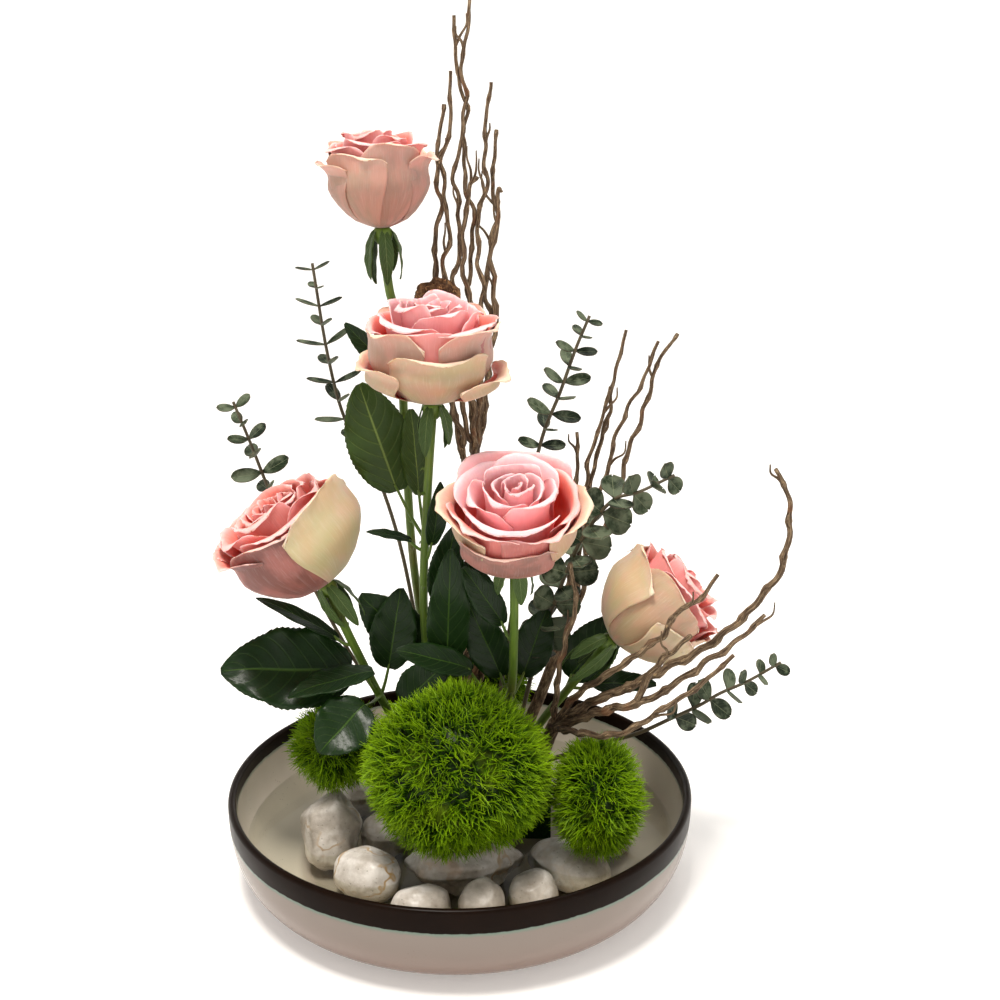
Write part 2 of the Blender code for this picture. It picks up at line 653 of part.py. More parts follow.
def make_sepals(name):
    """The five narrow sepals that hang round the hip."""
    rose = ROSES[name]
    frame = rose_frame(name)
    draw = random.Random(rose["seed"])
    sepals = []
    for index in range(SEPALS):
        angle = math.tau * index / SEPALS + rose["seed"]
        out = Vector((math.cos(angle), math.sin(angle), 0))
        root = out * SEPAL_ROOT[0] + Vector((0, 0, SEPAL_ROOT[1]))
        hang = draw.uniform(0.75, 1.1)
        length = SEPAL_LENGTH * draw.uniform(0.87, 1.2)
        tip = root + out * (SEPAL_SPREAD + length * (1.1 - hang) * 0.6) - Vector((0, 0, length * hang * 0.9))
        surface = leaf_surface(frame @ root, frame @ tip, SEPAL_WIDTH, frame.to_3x3() @ out, sag=LEAF_SAG * 2)
        sepals.append(blade(surface, 1, 2, LEAF_THICKNESS))
    return sepals


def make_rose_stem(name):
    """Rose stem with its hip, five sepals and its leaves, as it grew."""
    path = rose_stem_path(name)
    parts = [tube(path, [STEM_RADIUS] * len(path), STEM_SIDES)]
    hip = turned(HIP_PROFILE, HIP_SIDES, "hip")
    hip.data.transform(rose_frame(name))
    parts.append(hip)
    parts += make_sepals(name)
    for start, base, tip, width, facing, toothed in ROSE_LEAVES[name]:
        rows = 5 if width > WIDE_LEAF else 4
        surface = leaf_surface(point(base), point(tip), width * MM, facing, rows if toothed else 0)
        parts.append(blade(surface, 2, rows, LEAF_THICKNESS))
        parts.append(tube([point(start), surface(0, 0.12)], [STALK_RADIUS] * 2, 4))
    return fuse("rose_stem_" + name, parts, finish_material("rose_green_" + name, (0.05, 0.16, 0.04), 0.5))


def leaf_pair(base, ways, facing, length, width):
    """Two opposite spoon-shaped leaves whose joined necks pass through the stem."""
    across = ways[0].cross(facing).normalized()

    def surface(u, v):
        """Place of a point: u across the leaves, v from one tip over the stem to the other tip."""
        reach = abs(v - 0.5) * 2
        way = ways[0] if v < 0.5 else ways[1]
        half = width / 2 * max(SPOON_NECK, 1 - abs(reach / SPOON_WIDEST - 1) ** 2.2)
        return base + way * reach * length + across * u * half + facing * SPOON_CUP * length * reach * reach

    return blade(surface, 1, 4, LEAF_THICKNESS)


def leaf_spots(path, spray):
    """Where each pair of leaves grows on a path, the way to the tip there, and how full-grown the pair is."""
    travelled = 0.0
    wanted = spray["spacing"] * MM / 3
    found = []
    for start, end in zip(path, path[1:]):
        stretch = (end - start).length
        while len(found) < spray["pairs"] and wanted <= travelled + stretch:
            growth = min(1.0, 0.6 + 0.12 * len(found))
            spot = start.lerp(end, (wanted - travelled) / stretch)
            found.append((spot, (start - end).normalized(), growth))
            wanted += spray["spacing"] * MM * (0.75 + 0.25 * growth)
        travelled += stretch
    return found


def make_eucalyptus(name):
    """A eucalyptus spray: a thin stem with opposite leaves, each pair turned across the last."""
    spray = EUCALYPTUS[name]
    draw = random.Random(spray["seed"])
    path = [point(place) for place in spray["path"]]
    parts = [tube(path, taper(len(path), SPRIG_FOOT_RADIUS, SPRIG_TIP_RADIUS), 4)]
    for index, (spot, along, growth) in enumerate(leaf_spots(path, spray)):
        side = along.cross(FORWARD).normalized()
        turn = Matrix.Rotation(math.radians(20 + 90 * (index % 2) + draw.uniform(-12, 12)), 3, along)
        out = turn @ side
        facing = along.lerp(FORWARD, spray["turned"])
        facing = (facing - out * facing.dot(out)).normalized()
        ways = [(out * sign + along * draw.uniform(0.05, 0.40)).normalized() for sign in (1, -1)]
        size = growth * draw.uniform(0.9, 1.1) * MM
        parts.append(leaf_pair(spot, ways, facing, spray["length"] * size, spray["width"] * size))
    return fuse("eucalyptus_" + name, parts, finish_material("eucalyptus_" + name, (0.05, 0.11, 0.08), 0.6))


def wavy(path, size, seed):
    """Bend a path from side to side as curly willow grows; its two ends stay where they are."""
    draw = random.Random(seed)
    first = draw.uniform(0, math.tau)
    second = draw.uniform(0, math.tau)
    travelled = 0.0
    bent = []
    for index, place in enumerate(path):
        if index:
            travelled += (place - path[index - 1]).length
        calm = min(1.0, index / 3, (len(path) - 1 - index) / 3)
        swing = Vector((math.sin(travelled * 95 + first) + 0.5 * math.sin(travelled * 210 + second),
                        math.sin(travelled * 80 + second), 0))
        bent.append(place + swing * size * calm)
    return bent


def tall_strands():
    """The path of every strand of the tall bundle, from its tip to the foot or to where it forks off."""
    x, y, _height = TALL_ROOT[1]
    paths = []
    for index, (tip_x, tip_z, bulge_x, neck_x, depth, parent) in enumerate(TALL_STRANDS):
        side = TALL_SPREAD * math.cos(index * 2.4)
        back = TALL_SPREAD * math.sin(index * 2.4)
        upper = [point((tip_x, depth, tip_z)), point((bulge_x, depth, TALL_BULGE)),
                 point((neck_x, depth, TALL_NECK))]
        if parent is None:
            lower = [point((x + 1 + side * 1.3, y - 1 + back, 170)), point((x + side, y + back, 62))]
        else:
            lower = [min(paths[parent], key=lambda place: abs(place.z - TALL_FORK * MM))]
        paths.append(wavy(smooth_path(upper + lower, 2), TALL_WAVE, index + 60))
    return paths


def make_tall_willow():
    """The tall bundle: curly willow strands that rise from one foot, with a knotty burl on one of them."""
    foot = [point(place) for place in TALL_ROOT]
    parts = [tube(foot, [TALL_SPREAD * MM] + [TALL_FOOT_RADIUS] * 3, 8)]
    for path in tall_strands():
        parts.append(tube(path, taper(len(path), *STRAND_RADII), 4))
    parts.append(burl_body())
    return fuse("willow_tall", parts, finish_material("tall_willow", (0.16, 0.10, 0.06), 0.8))


def burl_body():
    """The rough burl of bark on a tall strand."""
    half = Vector(BURL_SIZE) * MM
    bm = bmesh.new()
    bmesh.ops.create_icosphere(bm, subdivisions=2, radius=1.0)
    for vertex in bm.verts:
        way = vertex.co.normalized()
        bump = 1 + 0.45 * noise.noise(way * 3 + Vector((4, 9, 2)))
        vertex.co = Vector((way.x * half.x, way.y * half.y, way.z * half.z)) * bump + point(BURL)
    bmesh.ops.triangulate(bm, faces=bm.faces)
    return object_from(bm, "burl")


def make_upright_willow():
    """Thin willow tips standing behind the roses, from one foot."""
    root = [point(place) for place in UPRIGHT_ROOT]
    parts = [tube(root, taper(len(root), UPRIGHT_FOOT_RADIUS, UPRIGHT_FORK_RADIUS), 6)]
    for index, tips in enumerate(UPRIGHT_TIPS):
        route = [point(place) for place in tips] + [point(UPRIGHT_ROOT[0])]
        path = wavy(smooth_path(route, 2), UPRIGHT_WAVE, index + 90)
        parts.append(tube(path, taper(len(path), *STRAND_RADII), 4))
    return fuse("willow_upright", parts, finish_material("upright_willow", (0.17, 0.10, 0.06), 0.8))


def make_sweeping_willow():
    """Willow branches that sweep out to the right over the dianthus, from one foot."""
    root = [point(place) for place in SWEEP_ROOT]
    parts = [tube(root, taper(len(root), SWEEP_FOOT_RADIUS, SWEEP_FORK_RADIUS), 6)]
    for index, (branch, thick) in enumerate(zip(SWEEP_BRANCHES, SWEEP_RADII)):
        route = [point(place) for place in branch]
        path = wavy(smooth_path(route, 2), SWEEP_WAVE, index + 120)
        parts.append(tube(path, taper(len(path), thick, SWEEP_TIP_RADIUS), 4))
    return fuse("willow_sweeping", parts, finish_material("sweeping_willow", (0.18, 0.11, 0.07), 0.8))


def make_head(name):
    """A green dianthus head: tufts drawn out of the faces of a smaller core, on its stem."""
    head = HEADS[name]
    draw = random.Random(head["seed"])
    half = Vector(head["size"]) * MM
    centre = point(head["centre"])
    stem = [point(place) for place in head["stem"]]
    inward = (stem[0] - centre).normalized()
    core = half - Vector((1, 1, 1)) * TUFT_LENGTH * 0.85
    bm = bmesh.new()
    bmesh.ops.create_icosphere(bm, subdivisions=head["subdivisions"], radius=1.0)
    for vertex in bm.verts:
        way = vertex.co.normalized()
        bump = 1 + 0.08 * noise.noise(way * 4 + Vector((head["seed"], 0, 0)))
        vertex.co = Vector((way.x * core.x, way.y * core.y, way.z * core.z)) * bump
    tufted = [face for face in bm.faces if face.calc_center_median().normalized().dot(inward) < 0.80]
    tips = bmesh.ops.poke(bm, faces=tufted)["verts"]
    for tip in tips:
        way = Vector((tip.co.x / core.x, tip.co.y / core.y, tip.co.z / core.z)).normalized()
        lean = Vector((draw.uniform(-1, 1), draw.uniform(-1, 1), draw.uniform(-1, 1))) * TUFT_LEAN
        tip.co += (way + lean).normalized() * TUFT_LENGTH * draw.uniform(0.75, 1.05)
    for vertex in bm.verts:
        vertex.co += centre
    bmesh.ops.triangulate(bm, faces=bm.faces)
    body = object_from(bm, "head")
    path = [centre.lerp(stem[0], 0.4)] + stem
    stalk_tube = tube(path, [HEAD_STEM_RADIUS] * len(path), 6)
    return fuse("dianthus_" + name, [body, stalk_tube],
                finish_material("dianthus_" + name, (0.22, 0.36, 0.03), 0.6))


def main():
    """Build every piece of the centerpiece."""
    clear_scene()
    make_bowl()
    make_pebbles()
    make_foam()
    make_water()
    for name in ROSES:
        make_bloom(name)
        make_rose_stem(name)
    for name in EUCALYPTUS:
        make_eucalyptus(name)
    make_tall_willow()
    make_upright_willow()
    make_sweeping_willow()
    for name in HEADS:
        make_head(name)
    total = 0
    for made in bpy.data.objects:
        made.data.calc_loop_triangles()
        total += len(made.data.loop_triangles)
        print(made.name, len(made.data.loop_triangles), "triangles")
    print("all", total)


main()
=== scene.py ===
# %% [markdown]
# # A rose centerpiece, piece by piece
# The imported model is a faceted stand-in that has every piece in its place and at its size. This lesson
# grows the real surfaces over it: glaze, water, stone, petals, leaves, bark and the green tufts of dianthus.
# The imported model is opened first, and the sizes of the bowl, the water and the stones are read from it.
# What is made here must not outgrow it.

# %% Open the imported model
import math
import random

import bmesh
import bpy
from mathutils import Matrix, Vector, noise


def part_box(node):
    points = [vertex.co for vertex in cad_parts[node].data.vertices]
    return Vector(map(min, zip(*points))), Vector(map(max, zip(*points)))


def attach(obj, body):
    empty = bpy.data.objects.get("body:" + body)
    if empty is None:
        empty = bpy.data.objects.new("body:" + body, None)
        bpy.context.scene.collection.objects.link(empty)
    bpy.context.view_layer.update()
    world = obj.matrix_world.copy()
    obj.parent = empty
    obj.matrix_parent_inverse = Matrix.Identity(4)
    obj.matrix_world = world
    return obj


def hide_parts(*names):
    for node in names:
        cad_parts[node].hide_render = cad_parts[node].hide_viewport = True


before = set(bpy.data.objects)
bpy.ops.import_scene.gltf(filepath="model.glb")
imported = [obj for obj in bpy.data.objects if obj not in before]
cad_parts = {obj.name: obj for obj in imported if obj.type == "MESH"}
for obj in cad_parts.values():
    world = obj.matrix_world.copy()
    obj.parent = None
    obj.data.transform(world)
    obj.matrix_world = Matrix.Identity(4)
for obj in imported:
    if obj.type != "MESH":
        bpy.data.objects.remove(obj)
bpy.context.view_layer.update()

MM = 0.001
WELD = 1e-6

# %% [markdown]
# ## The camera
# The photograph looks a little down on the bowl from in front, so the rim shows as a flat oval. The oval's
# height against its width gives the angle, and the bowl's width in the picture gives the distance.

# %% Camera at the photograph's angle
CAMERA_PLACE = (0.024, -0.717, 0.442)
CAMERA_DIP = 16.2
LENS = 46.8
SENSOR = 36.0


def put_in_scene(name, data):
    """Give a camera, a lamp or a mesh an object of its own in the scene."""
    made = bpy.data.objects.new(name, data)
    bpy.context.scene.collection.objects.link(made)
    return made


camera_data = bpy.data.cameras.new("camera")
camera_data.lens = LENS
camera_data.sensor_width = SENSOR
camera = put_in_scene("camera", camera_data)
camera.location = CAMERA_PLACE
camera.rotation_euler = (math.radians(90 - CAMERA_DIP), 0.0, 0.0)
bpy.context.scene.camera = camera
print("camera looks down by", CAMERA_DIP, "degrees")

# %% [markdown]
# ## Shader maths as plain sentences
# A finish is a tree of nodes. Written out one node at a time it is hard to read, so one small class wraps a
# socket and lets the usual operators add the Math nodes, and one method adds every other kind of node.


# %% A socket that can stand in an expression
class Wire:
    """An output of a node, which sums and products can be written with."""

    def __init__(self, finish, socket):
        self.finish = finish
        self.socket = socket

    def __add__(self, other):
        return self.finish.maths("ADD", self, other)

    def __sub__(self, other):
        return self.finish.maths("SUBTRACT", self, other)

    def __rsub__(self, other):
        return self.finish.maths("SUBTRACT", other, self)

    def __mul__(self, other):
        return self.finish.maths("MULTIPLY", self, other)

    def __abs__(self):
        return self.finish.maths("ABSOLUTE", self)

    def __mod__(self, other):
        return self.finish.maths("FLOORED_MODULO", self, other)

    __radd__ = __add__
    __rmul__ = __mul__


# %% A material under construction
class Finish:
    """One material: its constants go on the shader at once, and what varies is wired to it later."""

    def __init__(self, name, constants):
        self.material = bpy.data.materials.new(name)
        self.material.use_nodes = True
        self.tree = self.material.node_tree
        self.shader = self.tree.nodes["Principled BSDF"]
        self.output = self.tree.nodes["Material Output"]
        for socket, value in constants.items():
            self.shader.inputs[socket].default_value = value

    def node(self, kind, settings, sockets, output=0):
        """Add one node: its settings first, then its sockets. One of its outputs comes back."""
        made = self.tree.nodes.new(kind)
        for name, value in settings.items():
            if name == "stops":
                self.set_stops(made.color_ramp, value)
            else:
                setattr(made, name, value)
        for name, value in sockets.items():
            if isinstance(value, Wire):
                self.tree.links.new(value.socket, made.inputs[name])
            else:
                made.inputs[name].default_value = value
        return Wire(self, made.outputs[output])

    def set_stops(self, ramp, stops):
        """Give a colour ramp its stops."""
        while len(ramp.elements) < len(stops):
            ramp.elements.new(0.5)
        for element, (position, colour) in zip(ramp.elements, stops):
            element.position = position
            element.color = colour

    def maths(self, operation, first, second=0.0):
        """One step of arithmetic."""
        return self.node("ShaderNodeMath", {"operation": operation}, {0: first, 1: second})

    def wear(self, socket, value):
        """Wire a value to the shader."""
        self.tree.links.new(value.socket, self.shader.inputs[socket])

    def between(self, value, low, high):
        """Rise softly from 0 to 1 while a value goes from low to high."""
        return self.node("ShaderNodeMapRange", {"interpolation_type": "SMOOTHSTEP"},
                         {"Value": value, "From Min": low, "From Max": high})

    def blend(self, share, first, second, mode="MIX"):
        """Mix two colours."""
        return self.node("ShaderNodeMix", {"data_type": "RGBA", "blend_type": mode},
                         {0: share, 6: first, 7: second}, 2)

    def ramp(self, value, *stops):
        """A colour that changes along a value. Each stop is a position and three numbers for tint."""
        stops = [(position, tint(*shown)) for position, *shown in stops]
        return self.node("ShaderNodeValToRGB", {"stops": stops}, {0: value})

    def cloud(self, place, scale, detail=3.0, rough=0.5):
        """Soft noise from 0 to 1."""
        return self.node("ShaderNodeTexNoise", {},
                         {"Vector": place, "Scale": scale, "Detail": detail, "Roughness": rough})

    def cells(self, place, scale):
        """Distance to the nearest of many scattered spots."""
        return self.node("ShaderNodeTexVoronoi", {}, {"Vector": place, "Scale": scale})

    def here(self):
        """The place on the object, in metres."""
        return self.node("ShaderNodeTexCoord", {}, {}, 3)

    def sheet(self, name):
        """The two numbers of a UV map, each as a value."""
        found = self.node("ShaderNodeUVMap", {"uv_map": name}, {})
        return [self.node("ShaderNodeSeparateXYZ", {}, {0: found}, axis) for axis in (0, 1)]

    def axes(self, place):
        """The three parts of a place, each as a value."""
        return [self.node("ShaderNodeSeparateXYZ", {}, {0: place}, axis) for axis in (0, 1, 2)]

    def spot(self, x, y, z):
        """A place made of three values."""
        return self.node("ShaderNodeCombineXYZ", {}, {0: x, 1: y, 2: z})

    def raise_by(self, height, distance, strength=1.0):
        """Bump the surface by a height, in metres."""
        self.wear("Normal", self.node("ShaderNodeBump", {},
                                      {"Height": height, "Distance": distance, "Strength": strength}))


def tint(*shown):
    """A colour as a screen shows it, 0 to 255, turned into the linear light that shaders work in."""
    return tuple(((value / 255 + 0.055) / 1.055) ** 2.4 for value in shown) + (1.0,)


print("finish tools ready")

# %% [markdown]
# ## Shapes from sheets
# Petals, leaves, stems and hairs are all thin things that grew along a line. Each starts as a flat grid, and
# a surface function carries its points into place. The grid's own two numbers, across and along, are kept
# in a UV map, so that a finish can follow the veins. A second map holds two numbers for the whole sheet.


# %% Carry a grid onto a surface
def point(values):
    """Turn millimetres into a place in metres."""
    return Vector(values) * MM


def in_metres(places):
    """Turn a route in millimetres into places in metres."""
    return [point(place) for place in places]


def new_sheets():
    """A bmesh with the two maps that every sheet fills in."""
    bm = bmesh.new()
    bm.loops.layers.uv.new("blade")
    bm.loops.layers.uv.new("kind")
    return bm


def lay_sheets(bm, across, along, sheets):
    """Add one long grid, cut it into equal sheets and carry each onto its own surface.

    A surface takes u, from -1 to 1 across, and v, from 0 to 1 along. With it come its two kind numbers.
    """
    blade = bm.loops.layers.uv["blade"]
    kinds = bm.loops.layers.uv["kind"]
    total = len(sheets) * (along + 1) - 1
    made = bmesh.ops.create_grid(bm, x_segments=across, y_segments=total, size=0.5)["verts"]
    cuts = []
    for face in {face for vertex in made for face in vertex.link_faces}:
        index, row = divmod(int((face.calc_center_median().y + 0.5) * total), along + 1)
        if row == along:
            cuts.append(face)
            continue
        for loop in face.loops:
            row = round((loop.vert.co.y + 0.5) * total) - index * (along + 1)
            loop[blade].uv = (loop.vert.co.x + 0.5, row / along)
            loop[kinds].uv = sheets[index][1]
    bmesh.ops.delete(bm, geom=cuts, context="FACES_ONLY")
    for vertex in made:
        index, row = divmod(round((vertex.co.y + 0.5) * total), along + 1)
        vertex.co = sheets[index][0](vertex.co.x * 2, row / along)


def smooth_path(points, steps):
    """Points on a smooth curve through the given ones, the same number along every stretch."""
    ends = [points[0] * 2 - points[1]] + list(points) + [points[-1] * 2 - points[-2]]
    found = []
    for index in range(1, len(ends) - 2):
        before, start, end, after = ends[index - 1:index + 3]
        for step in range(steps):
            t = step / steps
            found.append(0.5 * (2 * start + (end - before) * t
                                + (2 * before - 5 * start + 4 * end - after) * t ** 2
                                + (3 * start - before - 3 * end + after) * t ** 3))
    found.append(points[-1])
    return found


# %% Roll a sheet round a path
def frames_along(path):
    """At each point of a path, two directions square to it that turn as little as they can."""
    side = (path[1] - path[0]).orthogonal().normalized()
    found = []
    for index, place in enumerate(path):
        along = path[min(index + 1, len(path) - 1)] - path[max(index - 1, 0)]
        along.normalize()
        side = (side - along * side.dot(along)).normalized()
        found.append((place, side, along.cross(side)))
    return found


def path_length(path):
    """How long a path is."""
    return sum((end - start).length for start, end in zip(path, path[1:]))


def tube_surface(path, radii, flat=1.0):
    """The surface of a tube round a path that closes to a point at both ends."""
    rings = frames_along(path)
    rings = [rings[0]] + rings + [rings[-1]]
    widths = [0.0] + list(radii) + [0.0]

    def surface(u, v):
        """Place of a point: u once round the tube, v from its first end to its last."""
        row = round(v * (len(rings) - 1))
        place, side, up = rings[row]
        angle = u * math.pi
        return place + (side * math.cos(angle) + up * math.sin(angle) * flat) * widths[row]

    return surface


def lay_tube(bm, path, radii, sides, kind=0.5):
    """Add one tube. Its second kind number is its length in metres."""
    lay_sheets(bm, sides, len(path) + 1, [(tube_surface(path, radii), (kind, path_length(path)))])


def close_seams(bm):
    """Join the long seams and the pointed ends of tubes, and turn every face outwards."""
    bmesh.ops.remove_doubles(bm, verts=bm.verts, dist=WELD)
    bmesh.ops.dissolve_degenerate(bm, dist=WELD, edges=bm.edges)
    bmesh.ops.recalc_face_normals(bm, faces=bm.faces)


def taper(count, thick, thin):
    """Radii that shrink evenly from the first point to the last."""
    return [thick + (thin - thick) * index / (count - 1) for index in range(count)]


# %% Turn a bmesh into a finished piece
def mesh_from(bm, name, finishes):
    """Write a bmesh into a smooth mesh with its finishes, and free it."""
    mesh = bpy.data.meshes.new(name)
    bm.to_mesh(mesh)
    bm.free()
    for finish in finishes:
        mesh.materials.append(finish.material)
    mesh.shade_smooth()
    return mesh


def show_piece(bm, name, finishes, nodes, sharp=60, wall=0.0):
    """Write a bmesh into an object that rides on the model and stands for the nodes it replaces.

    A wall gives a sheet its thickness, and the face away from its normals takes the next finish.
    """
    mesh = mesh_from(bm, name, finishes)
    mesh.set_sharp_from_angle(angle=math.radians(sharp))
    made = put_in_scene(name, mesh)
    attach(made, "root")
    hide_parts(*nodes)
    if wall:
        solid = made.modifiers.new("wall", "SOLIDIFY")
        solid.thickness = wall
        solid.offset = 0.0
        solid.material_offset = 1
    print(name, len(mesh.polygons), "faces")


def turn_profile(bm, profile, steps):
    """Spin a line of (radius, height) points once round Z and close it."""
    corners = [bm.verts.new((radius, 0.0, height)) for radius, height in profile]
    edges = [bm.edges.new(pair) for pair in zip(corners, corners[1:])]
    bmesh.ops.spin(bm, geom=corners + edges, axis=(0, 0, 1), cent=(0, 0, 0),
                   angle=math.tau, steps=steps, use_merge=True)
    close_seams(bm)


# %% [markdown]
# ## The room
# The arrangement stands on a pale table under soft light. A round floor that curves up into a wall has no
# edge to show. One large lamp high above gives the petals their form: it lights the faces that look up and
# leaves the undersides in shade. A weak one from the right opens the shadows, and one high behind draws
# light edges on leaves and twigs, too high for the water to mirror it towards the camera.

# %% Pale floor that curves up into a wall
FLOOR_RADIUS = 1.7
WALL_RADIUS = 2.5
WALL_HEIGHT = 1.3
FLOOR_STEPS = 12
FLOOR_TURNS = 64

reach = WALL_RADIUS - FLOOR_RADIUS
floor_profile = [(0.0, 0.0), (FLOOR_RADIUS, 0.0)]
for step in range(1, FLOOR_STEPS + 1):
    turn = step / FLOOR_STEPS * math.pi / 2
    floor_profile.append((FLOOR_RADIUS + reach * math.sin(turn), reach * (1 - math.cos(turn))))
floor_profile.append((WALL_RADIUS, WALL_HEIGHT))
floor_bm = bmesh.new()
turn_profile(floor_bm, floor_profile, FLOOR_TURNS)
bmesh.ops.reverse_faces(floor_bm, faces=floor_bm.faces)
paper = Finish("paper", {"Roughness": 0.9, "Specular IOR Level": 0.1, "Emission Strength": 0.26,
                         "Emission Color": tint(255, 252, 248)})
clouded = paper.blend(paper.cloud(paper.here(), 2.0), tint(240, 239, 237), tint(245, 244, 242))
paper.wear("Base Color", clouded)
floor = put_in_scene("floor", mesh_from(floor_bm, "floor", [paper]))
print("floor radius", FLOOR_RADIUS)

# %% Soft lamps and a bright sky
LOOK_AT = Vector((0.02, 0.0, 0.22))
LAMPS = {
    "key": dict(place=(-0.22, -0.50, 2.05), size=0.50, power=44.0, colour=(1.0, 0.95, 0.89)),
    "fill": dict(place=(1.3, -1.0, 0.7), size=1.4, power=2.0, colour=(1.0, 0.97, 0.94)),
    "back": dict(place=(0.5, 0.9, 2.0), size=0.9, power=11.0, colour=(1.0, 0.98, 0.95)),
}
SKY = (1.0, 1.0, 1.0, 1.0)
SKY_STRENGTH = 0.36

for lamp_name, lamp in LAMPS.items():
    light = bpy.data.lights.new(lamp_name, "AREA")
    light.energy = lamp["power"]
    light.size = lamp["size"]
    light.color = lamp["colour"]
    holder = put_in_scene(lamp_name, light)
    holder.location = lamp["place"]
    holder.rotation_euler = (LOOK_AT - Vector(lamp["place"])).to_track_quat("-Z", "Y").to_euler()
world = bpy.data.worlds.new("sky")
world.use_nodes = True
world.node_tree.nodes["Background"].inputs["Color"].default_value = SKY
world.node_tree.nodes["Background"].inputs["Strength"].default_value = SKY_STRENGTH
bpy.context.scene.world = world
bpy.context.scene.view_settings.view_transform = "Standard"
print("lamps", list(LAMPS))

# %% [markdown]
# ## The bowl
# A shallow bowl is thrown on a wheel, so its shape is one profile turned round the middle. The wall leaves
# the flat base in a rounded curve and stands almost upright at the rim.

# %% Turn the bowl
BOWL_BASE_RADIUS = 0.098
BOWL_WALL = 0.0048
BOWL_FLOOR = 0.006
BOWL_ROUNDNESS = 0.78
BOWL_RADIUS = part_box("bowl")[1].x
BOWL_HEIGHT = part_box("bowl")[1].z
BOWL_TURNS = 160
WALL_STEPS = 26
CROWN_STEPS = 8


def bowl_curve(inset, steps, bottom, top):
    """The rounded wall of the bowl from the floor's edge up, moved in by an inset."""
    found = []
    for step in range(steps + 1):
        turn = step / steps * math.pi / 2
        out = math.sin(turn) ** BOWL_ROUNDNESS
        rise = 1 - math.cos(turn) ** BOWL_ROUNDNESS
        radius = BOWL_BASE_RADIUS + (BOWL_RADIUS - BOWL_BASE_RADIUS) * out - inset
        found.append((radius, bottom + (top - bottom) * rise))
    return found


lip = BOWL_WALL / 2
lip_height = BOWL_HEIGHT - lip
crown = []
for step in range(1, CROWN_STEPS):
    turn = step / CROWN_STEPS * math.pi
    crown.append((BOWL_RADIUS - lip + lip * math.cos(turn), lip_height + lip * math.sin(turn)))
bowl_profile = [(0.0, 0.0)] + bowl_curve(0.0, WALL_STEPS, 0.0, lip_height) + crown
bowl_profile += bowl_curve(BOWL_WALL, WALL_STEPS, BOWL_FLOOR, lip_height)[::-1] + [(0.0, BOWL_FLOOR)]
bowl_bm = bmesh.new()
turn_profile(bowl_bm, bowl_profile, BOWL_TURNS)
print("bowl radius", round(BOWL_RADIUS, 4), "height", round(BOWL_HEIGHT, 4))

# %% [markdown]
# ## The glaze
# The potter dips the bowl in cream glaze and then dips the rim in a dark one. The dark glaze runs a little,
# so its lower edge is uneven, and where it thins over the cream it turns teal. The two colours are told
# apart by height: inside the wall the dark band is shorter than outside. The cream has fine iron specks.
# The outer wall is darkened as painted shade, most towards the bottom.

# %% Cream glaze with a dark rim
BAND_OUTSIDE = 0.0135
BAND_INSIDE = 0.0085
BAND_RUN = 0.0011
TEAL_HEIGHT = 0.0026

glaze = Finish("cream_and_brown_glaze", {"Coat Roughness": 0.10, "Specular IOR Level": 0.06})
here = glaze.here()
x, y, z = glaze.axes(here)
facing = glaze.node("ShaderNodeNewGeometry", {}, {}, 1)
facing_x, facing_y, _up = glaze.axes(facing)
outside = glaze.between(facing_x * x + facing_y * y, -0.01, 0.01)
run = (glaze.cloud(here, 24.0, 4.0) - 0.5) * (BAND_RUN * 2) + (glaze.cloud(here, 260.0, 2.0) - 0.5) * BAND_RUN
edge = z + run - (BOWL_HEIGHT - BAND_INSIDE) + outside * (BAND_OUTSIDE - BAND_INSIDE)
dark = glaze.between(edge, -0.0002, 0.0003)
teal = glaze.between(edge, -TEAL_HEIGHT, -0.0002) * 0.60
# Painted shade: the outside darkens towards the bottom, where the wall curves under and away from the light.
low = (1 - glaze.between(z, 0.002, BOWL_HEIGHT * 0.70)) * outside * 0.65
cream = glaze.blend(glaze.cloud(here, 30.0, 5.0), tint(196, 185, 168), tint(216, 206, 190))
# Painted shade: the whole outer wall is darkened to a grey brown, then darker and warmer again low down.
cream = glaze.blend(outside * 0.9, cream, tint(120, 109, 103))
cream = glaze.blend(low, cream, tint(112, 82, 70))
specks = 1 - glaze.between(glaze.cells(here, 420.0), 0.10, 0.16)
specks = specks * glaze.between(glaze.cloud(here, 60.0, 2.0), 0.52, 0.62)
cream = glaze.blend(specks * 0.55, cream, tint(120, 104, 84))
cream = glaze.blend(teal, cream, tint(92, 128, 114))
brown = glaze.blend(glaze.cloud(here, 35.0, 4.0), tint(9, 4, 1), tint(26, 13, 4))
glaze.wear("Base Color", glaze.blend(dark, cream, brown))
glaze.wear("Roughness", dark * 0.08 + glaze.cloud(here, 90.0, 3.0) * 0.14 + 0.16)
glaze.wear("Coat Weight", (1 - dark) * 0.30)
glaze.raise_by(glaze.cloud(here, 22.0, 3.0) * 0.8 + dark * 0.5, 0.0005, 0.5)
show_piece(bowl_bm, "thrown_bowl", [glaze], ["bowl"], 70)

# %% [markdown]
# ## The water
# Still water is a clear body with a flat top that climbs a little where it touches the bowl. What shows of
# it is mostly its mirror: looking along it, more light is reflected. So the finish lets light through and
# mixes in a polished reflection by the Fresnel rule, which keeps the stones and the floor below it clear.
# Only the top is a mirror: the underside of the water lies on the glaze, and no light turns back there.

# %% Still water with a mirror top
WATER_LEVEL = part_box("water")[1].z
WATER_FILM = 0.0001
WATER_STEPS = 60
MENISCUS = 0.0012
MENISCUS_STEPS = 5
MIRROR_DEPTH = 0.0004

wall = bowl_curve(BOWL_WALL - WATER_FILM, WATER_STEPS, BOWL_FLOOR, lip_height)
wall = [spot for spot in wall if spot[1] < WATER_LEVEL + MENISCUS]
top = [(wall[-1][0] - MENISCUS * step, WATER_LEVEL + MENISCUS * math.exp(-step))
       for step in range(1, MENISCUS_STEPS + 1)]
water_bm = bmesh.new()
turn_profile(water_bm, [(0.0, BOWL_FLOOR + WATER_FILM)] + wall + top + [(0.0, WATER_LEVEL)], BOWL_TURNS)

